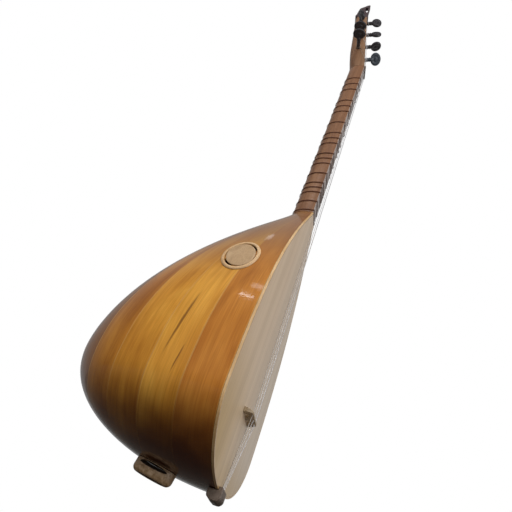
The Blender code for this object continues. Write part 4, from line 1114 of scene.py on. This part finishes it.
# %% String route
BRIDGE_Z = 0.0850
BRIDGE_HALF_LENGTH = 0.0245
STRING_RADIUS = 0.0002
STRING_Y_NUT = -0.0038
STRING_Y_BRIDGE = -0.0131
NUT_PLACES = (-0.874, -0.741, -0.104, 0.044, 0.593, 0.726, 0.859)
BRIDGE_PLACES = (-0.673, -0.583, -0.066, 0.033, 0.498, 0.588, 0.677)
TAIL_SPACING = 0.0024
TAIL_PLACES = [(number - 3) * TAIL_SPACING for number in range(7)]
TURNS_ON_PEG = 3.5
TURN_POINTS = 40
TURN_PITCH = 0.00085
WINDING_START = 0.0018
WINDING_RADIUS = PEG_STEM_RADIUS + STRING_RADIUS + JOINT_GAP + 0.0001
PEG_OF_STRING = {1: "side_peg_1", 2: "side_peg_2", 3: "side_peg_3", 4: "front_peg_1",
                 5: "front_peg_2", 6: "front_peg_3", 7: "front_peg_4"}
TAIL_FRONT, TAIL_END, NOSE = -0.0083, -0.0116, 0.0036
TAIL_LIP = 0.0035
GROOVE_DEPTH = 0.0030
GROOVE_END = -0.0020


def along_nose(depth, top):
    """Points down the tailpiece's front, round its nose and along its end, at a depth inside it."""
    turn_in = depth * math.tan(math.pi / 8)
    return [(TAIL_FRONT + depth, top), (TAIL_FRONT + depth, NOSE + TAIL_END + turn_in),
            (TAIL_FRONT + NOSE + turn_in, depth + TAIL_END), (GROOVE_END, depth + TAIL_END)]


def winding(place, came_from):
    """The turns round a peg, from where the string meets it towards the grip."""
    local = place.inverted() @ came_from
    away = math.hypot(local.x, local.y)
    meets = math.atan2(local.y, local.x) + math.acos(WINDING_RADIUS / away)
    points = []
    for step in range(int(TURNS_ON_PEG * TURN_POINTS) + 1):
        share = step / TURN_POINTS
        turn = meets + 2 * math.pi * share
        points.append(place @ Vector((WINDING_RADIUS * math.cos(turn), WINDING_RADIUS * math.sin(turn),
                                      WINDING_START + TURN_PITCH * share)))
    return points


def edge_point(z):
    """Where a string bends round the head's front left edge on its way to a side peg."""
    clear = STRING_RADIUS + JOINT_GAP + 0.0004
    wide = head_half_width(z)
    return Vector((-wide - clear + HEAD_EDGE * 0.35, head_front(z) + HEAD_EDGE * 0.35 - clear, z))


def side_run(number, base_z):
    """The stretch from the nut round the head's edge to a side peg."""
    if number == 1:
        return [edge_point(NUT_Z + 0.026)]
    crossing = base_z - 0.030
    x = -head_half_width(crossing) + (0.0025 if number == 3 else 0.0)
    low = NUT_Z + PEG_FIRST
    turn_in = [Vector((-0.0070, head_front(low) - 0.0022, low))] if number == 3 else []
    before = crossing - 0.012
    return turn_in + [Vector((x - 0.0006, head_front(before) - 0.0012, before)), edge_point(crossing)]


def string_route(number):
    """All points of a string."""
    x_tail = TAIL_PLACES[number - 1]
    x_low = BRIDGE_PLACES[number - 1] * BRIDGE_HALF_LENGTH
    x_high = NUT_PLACES[number - 1] * NUT_HALF_WIDTH
    depth = GROOVE_DEPTH - STRING_RADIUS - JOINT_GAP
    front, high_bend, low_bend, end = along_nose(depth, TAIL_LIP + 0.001)
    route = [Vector((x_tail, end[0] - 2 * JOINT_GAP, end[1])), Vector((x_tail, *low_bend)),
             Vector((x_tail, *high_bend)), Vector((x_tail, *front)),
             Vector((x_low, STRING_Y_BRIDGE, BRIDGE_Z)), Vector((x_high, STRING_Y_NUT, NUT_Z)),
             Vector((x_high, STRING_Y_NUT, NECK_TOP))]
    place = pegs[PEG_OF_STRING[number]][0]
    if number < 4:
        route += side_run(number, place.translation.z)
    return route + winding(place, route[-1])


def wire(name, dark, pale, ribs):
    """Bare or wound wire."""
    made, tree, shader = finish(name, 0.42, metallic=0.4)
    tarnish = speckle(tree, stretched(tree, (900.0, 900.0, 60.0)), detail=2.0)
    tree.links.new(ramp(tree, tarnish, ((0.3, dark), (0.7, pale))), shader.inputs["Base Color"])
    _, _, height = position(tree)
    ribbed = calculate(tree, "SINE", calculate(tree, "MULTIPLY", height, ribs))
    relief(tree, shader, ribbed, 0.00004)
    return made


steel = wire("bare_wire", (0.70, 0.69, 0.70), (0.86, 0.85, 0.87), 200.0)
bronze = wire("wound_wire", (0.34, 0.29, 0.24), (0.52, 0.45, 0.38), 14000.0)
for number in range(1, 8):
    mesh = line_mesh(f"string_{number}", [(string_route(number), False)], STRING_RADIUS, roundness=2)
    show(f"wire_{number}", mesh, [bronze if number == 1 else steel], [f"string_{number}"],
         smooth=math.radians(75))
print("7 strings drawn")

# %% [markdown]
# ## Frets
#
# The frets are nylon line tied round the neck, three turns side by side and a knot on the far
# side. They can be pushed along the neck to set the scale, so each rides on its own body.

# %% Frets
FRET_CENTS = (100, 150, 200, 300, 350, 400, 500, 600, 650, 700,
              800, 850, 900, 1000, 1100, 1150, 1200, 1300, 1400)
LINE_RADIUS = 0.00034
LINE_PITCH = 0.00073
KNOT_AT = 2 * EDGE_STEPS + 3
KNOT_SHARES = (0.15, 0.55)


def knot_arc(z, share):
    """One turn of the knot: a line that humps over the three turns on the neck's far side."""
    points = []
    for step in range(9):
        turn = math.pi * step / 8
        grow = JOINT_GAP + LINE_RADIUS + 0.00075 * math.sin(turn)
        section = neck_section(z, grow)
        point = section[KNOT_AT] * (1 - share) + section[KNOT_AT + 1] * share
        points.append(Vector((point.x, point.y, z + 0.0015 * math.cos(turn))))
    return points


def fret_mesh(name, z):
    """Three turns of line round the neck, and the knot."""
    routes = []
    for turn in (-1, 0, 1):
        routes.append((neck_section(z + turn * LINE_PITCH, JOINT_GAP + LINE_RADIUS), True))
    routes += [(knot_arc(z, share), False) for share in KNOT_SHARES]
    return line_mesh(name, routes, LINE_RADIUS, roundness=1)


nylon, tree, shader = finish("fret_nylon", 0.35, coat=0.2)
stained = speckle(tree, stretched(tree, (300.0, 300.0, 300.0)), detail=2.0)
tree.links.new(ramp(tree, stained, ((0.3, (0.095, 0.036, 0.019)), (0.7, (0.180, 0.072, 0.040)))),
               shader.inputs["Base Color"])
for number, cents in enumerate(FRET_CENTS, start=1):
    z = NUT_Z - (NUT_Z - BRIDGE_Z) * (1 - 2 ** (-cents / 1200))
    name = f"fret_{number:02d}"
    show("tied_" + name, fret_mesh(name, z), [nylon], [name], name + "_body",
         smooth=math.radians(75))
print(len(FRET_CENTS), "frets tied")

# %% [markdown]
# ## Rosette
#
# On the side of the bowl sits an oval ring with a medallion inside it, turned a little, so that
# two thin crescent slots between them open into the bowl. Both are thin plates bent to the bowl,
# so each point of their outlines is dropped straight down onto the bowl and raised by the height
# of a profile.

# %% Rosette
BED = 0.00035
RING_OUTER, RING_INNER = (0.0303, 0.0234), (0.0258, 0.0192)
MEDALLION = (0.0241, 0.0178)
MEDALLION_TURN = math.radians(10.0)
OVAL_STEPS = 96


def raised(place, across, up, height):
    """A point on the bowl below a place in a plate's plane, raised along the bowl's outward."""
    point = drop(place, across, up)
    return point + outward(*point) * height


def bent_ring(name, place, outer, inner, profile):
    """A ring on the bowl whose section is a profile of shares, from inside to outside, and heights."""
    rings = []
    for k in range(OVAL_STEPS):
        turn = 2 * math.pi * k / OVAL_STEPS
        ring = []
        for share, height in profile:
            a = inner[0] + (outer[0] - inner[0]) * share
            b = inner[1] + (outer[1] - inner[1]) * share
            ring.append(raised(place, a * math.cos(turn), b * math.sin(turn), height))
        rings.append(ring)
    return skin(name, rings, closed=True)


def bent_disc(name, place, outline, profile):
    """A disc on the bowl whose section is a profile of shares, from its middle outwards and back."""
    rings = []
    for share, height in profile:
        rings.append([raised(place, x * share, y * share, height) for x, y in outline])
    return skin(name, rings)


RING_PROFILE = ((0.0, BED), (0.0, 0.0011), (0.05, 0.0015), (0.13, 0.0018), (0.25, 0.00195),
                (0.45, 0.0020), (0.62, 0.0019), (0.78, 0.0016), (0.90, 0.0012), (0.97, 0.0008),
                (1.0, BED))
MEDALLION_PROFILE = ((0.02, 0.0013), (0.30, 0.0013), (0.60, 0.0013), (0.80, 0.0014), (0.90, 0.0016),
                     (0.95, 0.0017), (0.98, 0.0015), (1.0, 0.0011), (1.0, BED), (0.6, BED), (0.02, BED))
birch = wood("rosette_birch", ((0.54, 0.33, 0.15), (0.65, 0.42, 0.21), (0.73, 0.50, 0.28)), 0.5,
             seed=9.0, figure=(50.0, 50.0, 12.0), coat=0.3)
pale_birch = wood("medallion_birch", ((0.38, 0.235, 0.115), (0.47, 0.305, 0.16), (0.54, 0.37, 0.21)),
                  0.5, seed=13.0, figure=(60.0, 60.0, 14.0), coat=0.3)
ring_mesh = bent_ring("rosette_ring", rosette_place, RING_OUTER, RING_INNER, RING_PROFILE)
show("oval_ring", ring_mesh, [birch], ["rosette_ring"])
disc_outline = oval(*MEDALLION, OVAL_STEPS, MEDALLION_TURN)
disc_mesh = bent_disc("rosette_disc", rosette_place, disc_outline, MEDALLION_PROFILE)
show("oval_medallion", disc_mesh, [pale_birch], ["rosette_medallion"])
print("rosette", round(2000 * RING_OUTER[0]), "x", round(2000 * RING_OUTER[1]), "mm")

# %% [markdown]
# ## Collar of the tail hole
#
# The sound hole in the tail has a tall oval collar with a rounded rim, and a slot-like window in
# its side that faces the player. It is skinned from its profile like the rosette's ring, but its
# wall stands straight up from the bowl. The inside is painted dark as shade, so its faces get their own
# finish.

# %% Collar
COLLAR = (0.0246, 0.0122)
COLLAR_HEIGHT = 0.0144
COLLAR_ROUND = 0.0060
SOFT_RIM = 0.0006
WINDOW = (0.0172, 0.0027)
WINDOW_RISE = 0.0034


def collar_ring(turn):
    """The collar's section at one place round the oval: up the hole, over the rim and down."""
    inner = (TAIL_HOLE[0] * math.cos(turn), TAIL_HOLE[1] * math.sin(turn))
    outer = (COLLAR[0] * math.cos(turn), COLLAR[1] * math.sin(turn))
    points = [foot_of(inner), raise_to(inner, COLLAR_HEIGHT - SOFT_RIM),
              raise_to(share_between(inner, outer, 0.06), COLLAR_HEIGHT)]
    for step in range(7):
        bend = math.pi / 2 * step / 6
        inset = 1 - COLLAR_ROUND / COLLAR[0] * (1 - math.sin(bend))
        rise = COLLAR_HEIGHT - COLLAR_ROUND * (1 - math.cos(bend))
        points.append(raise_to((outer[0] * inset, outer[1] * inset), rise))
    points.append(foot_of(outer))
    return points


def foot_of(spot):
    """The point of the collar's foot below a spot, just clear of the bowl."""
    return drop(tail_place, *spot) + tail_out * BED


def raise_to(spot, height):
    """A point above a spot at a height over the collar's middle."""
    return tail_place @ Vector((*spot, height))


def share_between(first, second, share):
    """A spot between two spots."""
    return tuple(a + (b - a) * share for a, b in zip(first, second))


tail_out = tail_place.to_3x3() @ Z_AXIS
collar_mesh = skin("collar", [collar_ring(2 * math.pi * k / OVAL_STEPS) for k in range(OVAL_STEPS)],
                   closed=True)
window = slab("window", [oval(*WINDOW, 48)], COLLAR[1] + 0.002)
stand_up(window, X_AXIS, Z_AXIS, Y_AXIS, Vector((0.0, -(COLLAR[1] + 0.002) / 2, WINDOW_RISE)))
window.transform(tail_place)
collar_mesh = carve(collar_mesh, "collar", [window])
worn_rim = wood("collar_oak", ((0.30, 0.175, 0.080), (0.46, 0.30, 0.165), (0.60, 0.43, 0.27)), 0.5,
                seed=7.0, figure=(220.0, 220.0, 220.0), coat=0.2)
# Painted shade: the hole's inside and the window's walls are coloured dark for the shade in them.
shade_inside = wood("collar_inside", ((0.052, 0.030, 0.018), (0.084, 0.052, 0.032), (0.125, 0.080, 0.052)), 0.7,
             seed=17.0)
collar = show("tail_collar", collar_mesh, [worn_rim, shade_inside], ["tail_ring"])
inner_faces = 0
to_local = (Matrix.Translation(Z_AXIS * FORM_Z) @ tail_place).inverted()
for face in collar.data.polygons:
    spot = to_local @ face.center
    inside_hole = math.hypot(spot.x / TAIL_HOLE[0], spot.y / TAIL_HOLE[1]) < 1.02
    turned_in = math.hypot(spot.x / COLLAR[0], spot.y / COLLAR[1]) < 0.96 and spot.z < COLLAR_HEIGHT - 0.003
    if (inside_hole or turned_in) and spot.z < COLLAR_HEIGHT - 0.0005:
        face.material_index = 1
        inner_faces += 1
print("collar with", inner_faces, "dark inner faces")

# %% [markdown]
# ## Tailpiece and bridge
#
# The tailpiece is a rounded block that holds the strings' ends in fine, deep grooves. The bridge stands
# loose on the soundboard on three feet. Both are cut from flat outlines with softened edges.

# %% Tailpiece
TAIL_HALF_WIDTH = 0.0125
TAIL_SOFT_EDGE = 0.0009
TAIL_ROUND = 0.0022
TAIL_BACK, TAIL_HEEL, TAIL_FLAT = 0.0080, -0.0085, 0.0020
BOARD_SEAT = BOARD_BACK - BOARD_THICKNESS - JOINT_GAP
GROOVE_WIDTH = 0.0011


def rounded_corners(corners, steps=6):
    """A closed outline from (across, up, radius) corners, those with a radius turned by arcs."""
    loop = []
    count = len(corners)
    for i, (across, up, radius) in enumerate(corners):
        here = Vector((across, up))
        before = (Vector(corners[i - 1][:2]) - here).normalized()
        after = (Vector(corners[(i + 1) % count][:2]) - here).normalized()
        for step in range(steps + 1 if radius > 0 else 1):
            share = step / steps
            start, end = here + before * radius, here + after * radius
            bend = start * (1 - share) ** 2 + here * 2 * share * (1 - share) + end * share ** 2
            loop.append((bend.x, bend.y))
    return loop


tail_outline = rounded_corners(
    [(TAIL_FRONT, TAIL_LIP, TAIL_ROUND), (TAIL_FRONT, NOSE + TAIL_END, TAIL_ROUND),
     (TAIL_FRONT + NOSE, TAIL_END, TAIL_ROUND), (TAIL_FLAT, TAIL_END, 0.0),
     (TAIL_BACK, TAIL_HEEL, TAIL_ROUND), (TAIL_BACK, -JOINT_GAP, 0.0),
     (BOARD_SEAT, -JOINT_GAP, 0.0), (BOARD_SEAT, TAIL_LIP, 0.0)])
tail_mesh = slab("tailpiece", [tail_outline], 2 * TAIL_HALF_WIDTH, TAIL_SOFT_EDGE)
stand_up(tail_mesh, Y_AXIS, Z_AXIS, X_AXIS)
beyond = 0.002
groove_loop = (along_nose(GROOVE_DEPTH, TAIL_LIP + beyond)
               + [(GROOVE_END, TAIL_END - beyond), (TAIL_FRONT - beyond, TAIL_END - beyond),
                  (TAIL_FRONT - beyond, TAIL_LIP + beyond)])
grooves = []
for x in TAIL_PLACES:
    groove = slab("groove", [groove_loop], GROOVE_WIDTH)
    grooves.append(stand_up(groove, Y_AXIS, Z_AXIS, X_AXIS, (x, 0.0, 0.0)))
tail_mesh = carve(tail_mesh, "tailpiece", grooves)
tail_wood = wood("tail_walnut", ((0.10, 0.068, 0.050), (0.165, 0.120, 0.092), (0.24, 0.185, 0.145)),
                 0.45, coat=0.3, seed=6.0, figure=(25.0, 70.0, 70.0))
show("carved_tailpiece", tail_mesh, [tail_wood], ["tailpiece"])
print("tailpiece", 2 * TAIL_HALF_WIDTH, "m wide")

# %% Bridge
BRIDGE_HEIGHT = 0.0108
BRIDGE_END_HEIGHT = 0.0035
BRIDGE_THICKNESS = 0.0060
BRIDGE_TOP_THICKNESS = 0.0026
BRIDGE_SOFT_EDGE = 0.00022
LEVEL = 0.76 * BRIDGE_HALF_LENGTH
FOOT = 0.0075
ARCH = 0.0043
NOTCH_WIDTH = 0.0014
NOTCH_FLOOR = 0.0017


def bridge_crown(x):
    """The bridge's top edge, level in the middle and arched down to thin ends."""
    fall = max(0.0, (abs(x) - LEVEL) / (BRIDGE_HALF_LENGTH - LEVEL))
    return BRIDGE_HEIGHT - (BRIDGE_HEIGHT - BRIDGE_END_HEIGHT) * fall ** 2


def bridge_outline():
    """The bridge seen along the neck: three feet, an arched top and a notch for each string."""
    start, end = FOOT / 2, BRIDGE_HALF_LENGTH - FOOT
    middle, half_span = (start + end) / 2, (end - start) / 2
    half = []
    for step in range(17):
        turn = math.pi * step / 16
        half.append((middle - half_span * math.cos(turn), ARCH * math.sin(turn)))
    bottom = [(-x, y) for x, y in half[::-1]] + half
    top = [(x, bridge_crown(x)) for x in np.linspace(BRIDGE_HALF_LENGTH, 0.0180, 12)]
    strings = []
    for place in sorted(BRIDGE_PLACES, reverse=True):
        x, reach = place * BRIDGE_HALF_LENGTH, NOTCH_WIDTH / 2
        low = bridge_crown(x) - NOTCH_FLOOR
        strings += [(x + reach, bridge_crown(x + reach)), (x + reach, low), (x - reach, low),
                    (x - reach, bridge_crown(x - reach))]
    return ([(-BRIDGE_HALF_LENGTH, 0.0)] + bottom + [(BRIDGE_HALF_LENGTH, 0.0)] + top + strings
            + [(-x, y) for x, y in top[::-1]])


bridge_mesh = slab("bridge", [bridge_outline()], BRIDGE_THICKNESS, BRIDGE_SOFT_EDGE)
for vertex in bridge_mesh.vertices:
    rise = min(max(vertex.co.y / BRIDGE_HEIGHT, 0.0), 1.0)
    vertex.co.z *= 1 + (BRIDGE_TOP_THICKNESS / BRIDGE_THICKNESS - 1) * rise
stand_up(bridge_mesh, X_AXIS, -Y_AXIS, Z_AXIS, (0.0, BOARD_SEAT, BRIDGE_Z))
boxwood = wood("bridge_box", ((0.27, 0.19, 0.105), (0.36, 0.26, 0.15), (0.45, 0.34, 0.21)), 0.45,
               seed=4.0, figure=(12.0, 90.0, 90.0), coat=0.3)
show("carved_bridge", bridge_mesh, [boxwood], ["bridge"], "bridge_body")
print("bridge", BRIDGE_HEIGHT, "m high")

# %% [markdown]
# ## Pieces that keep their measured shape
#
# The nut, the two blocks and the two braces inside the bowl are plain in the real instrument too,
# so their measured solids stay and only get their finish.

# %% Kept pieces
horn = wood("nut_horn", ((0.12, 0.088, 0.070), (0.18, 0.135, 0.108), (0.24, 0.185, 0.150)), 0.35,
            seed=12.0, figure=(90.0, 300.0, 300.0), coat=0.3)
inside_wood = wood("inside_pine", ((0.34, 0.22, 0.11), (0.42, 0.29, 0.16), (0.50, 0.36, 0.21)), 0.65,
                   seed=11.0)
kept = {"nut": horn, "neck_block": inside_wood, "tail_block": inside_wood, "brace_1": inside_wood,
        "brace_2": inside_wood}
for name, made in kept.items():
    for material_slot in nodes[name].material_slots:
        material_slot.material = made
print(len(kept), "pieces keep their measured shape")

# %% [markdown]
# ## Studio
#
# The picture has a white background, and a floor lies below the tail, painted dark around the
# instrument as its shadow and paler further out, which also keeps the tail's reflections dark. The
# world is white to the camera. To everything else it is a plain grey, and to reflections it is bright
# only behind the instrument, as in a studio with one white wall and a dark room in front of it. So the
# lacquer shines along the silhouette, and the white never washes out the wood. Two soft lamps shape the
# bowl.

# %% Floor, world and lamps
FLOOR_Z = -0.16
FLOOR_HALF = 4.0
floor_mesh = bpy.data.meshes.new("floor")
floor_mesh.from_pydata([(-FLOOR_HALF, -FLOOR_HALF, FLOOR_Z), (FLOOR_HALF, -FLOOR_HALF, FLOOR_Z),
                        (FLOOR_HALF, FLOOR_HALF, FLOOR_Z), (-FLOOR_HALF, FLOOR_HALF, FLOOR_Z)],
                       [], [(0, 1, 2, 3)])
floor = bpy.data.objects.new("floor", floor_mesh)
bpy.context.scene.collection.objects.link(floor)
floor_paint, tree, shader = finish("floor_paint", 0.9, specular=0.1)
middle = tree.nodes.new("ShaderNodeTexCoord")
away = tree.nodes.new("ShaderNodeVectorMath")
away.operation = "LENGTH"
tree.links.new(middle.outputs["Object"], away.inputs[0])
# Painted shadow: the floor is dark near the instrument and pales with distance.
shadow_fade = between(tree, 0.2, 2.6, away.outputs["Value"])
floor_shadow_tone = ramp(tree, shadow_fade, ((0.0, (0.08, 0.07, 0.06)), (1.0, (0.36, 0.36, 0.35))))
tree.links.new(floor_shadow_tone, shader.inputs["Base Color"])
floor_mesh.materials.append(floor_paint)

AMBIENT = 0.34
WALL_SHINE = 0.30
ROOM_SHINE = 0.04
WALL_DIRECTION = Vector((0.85, 0.30, 0.42)).normalized()
world = bpy.data.worlds.new("studio")
bpy.context.scene.world = world
world.use_nodes = True
tree = world.node_tree
sky = tree.nodes["Background"]
rays = tree.nodes.new("ShaderNodeLightPath")
direction = tree.nodes.new("ShaderNodeTexCoord")
towards_wall = tree.nodes.new("ShaderNodeVectorMath")
towards_wall.operation = "DOT_PRODUCT"
tree.links.new(direction.outputs["Generated"], towards_wall.inputs[0])
towards_wall.inputs[1].default_value = WALL_DIRECTION
wall = between(tree, 0.10, 0.80, towards_wall.outputs["Value"])
shine = calculate(tree, "ADD", calculate(tree, "MULTIPLY", wall, WALL_SHINE - ROOM_SHINE), ROOM_SHINE)
seen = calculate(tree, "ADD", rays.outputs["Is Camera Ray"], rays.outputs["Is Transmission Ray"])
seen = calculate(tree, "MINIMUM", seen, 1.0)
glossy = calculate(tree, "MULTIPLY", rays.outputs["Is Glossy Ray"], shine)
plain_light = calculate(tree, "SUBTRACT", 1.0, rays.outputs["Is Glossy Ray"])
plain_light = calculate(tree, "MULTIPLY", plain_light, AMBIENT)
strength = calculate(tree, "MAXIMUM", seen, calculate(tree, "ADD", glossy, plain_light))
sky.inputs["Color"].default_value = (1.0, 1.0, 1.0, 1.0)
tree.links.new(strength, sky.inputs["Strength"])


def lamp(name, place, target, size, power, colour=(1.0, 1.0, 1.0)):
    """A large soft lamp aimed at a point."""
    data = bpy.data.lights.new(name, "AREA")
    data.shape = "RECTANGLE"
    data.size, data.size_y = size
    data.energy = power
    data.color = colour
    holder = bpy.data.objects.new(name, data)
    place, target = Vector(place), Vector(target)
    holder.location = place
    holder.rotation_euler = (target - place).to_track_quat("-Z", "Y").to_euler()
    bpy.context.scene.collection.objects.link(holder)
    return holder


BOWL_MIDDLE = (0.0, 0.08, 0.20)
SPARK_TARGET = (-0.12, 0.014, 0.171)
lamp("key", (-1.3, 0.2, 1.3), BOWL_MIDDLE, (2.2, 2.2), 30.0).visible_glossy = False
lamp("fill", (-0.9, -1.6, 0.4), BOWL_MIDDLE, (1.8, 1.4), 16.0)
lamp("window", (-1.66, 0.79, 1.98), SPARK_TARGET, (0.28, 0.04), 0.6)
lamp("ceiling", (0.064, 0.835, 2.64), SPARK_TARGET, (0.2, 0.1), 0.12)
lamp("neck_glint", (-1.42, 0.63, 2.03), (0.0, 0.01, 0.47), (0.20, 0.10), 0.3)
print("studio lit")

# %% [markdown]
# ## Colour view
#
# The picture is shown through Blender's plain Standard view transform.

# %% Standard view transform
bpy.context.scene.view_settings.view_transform = "Standard"
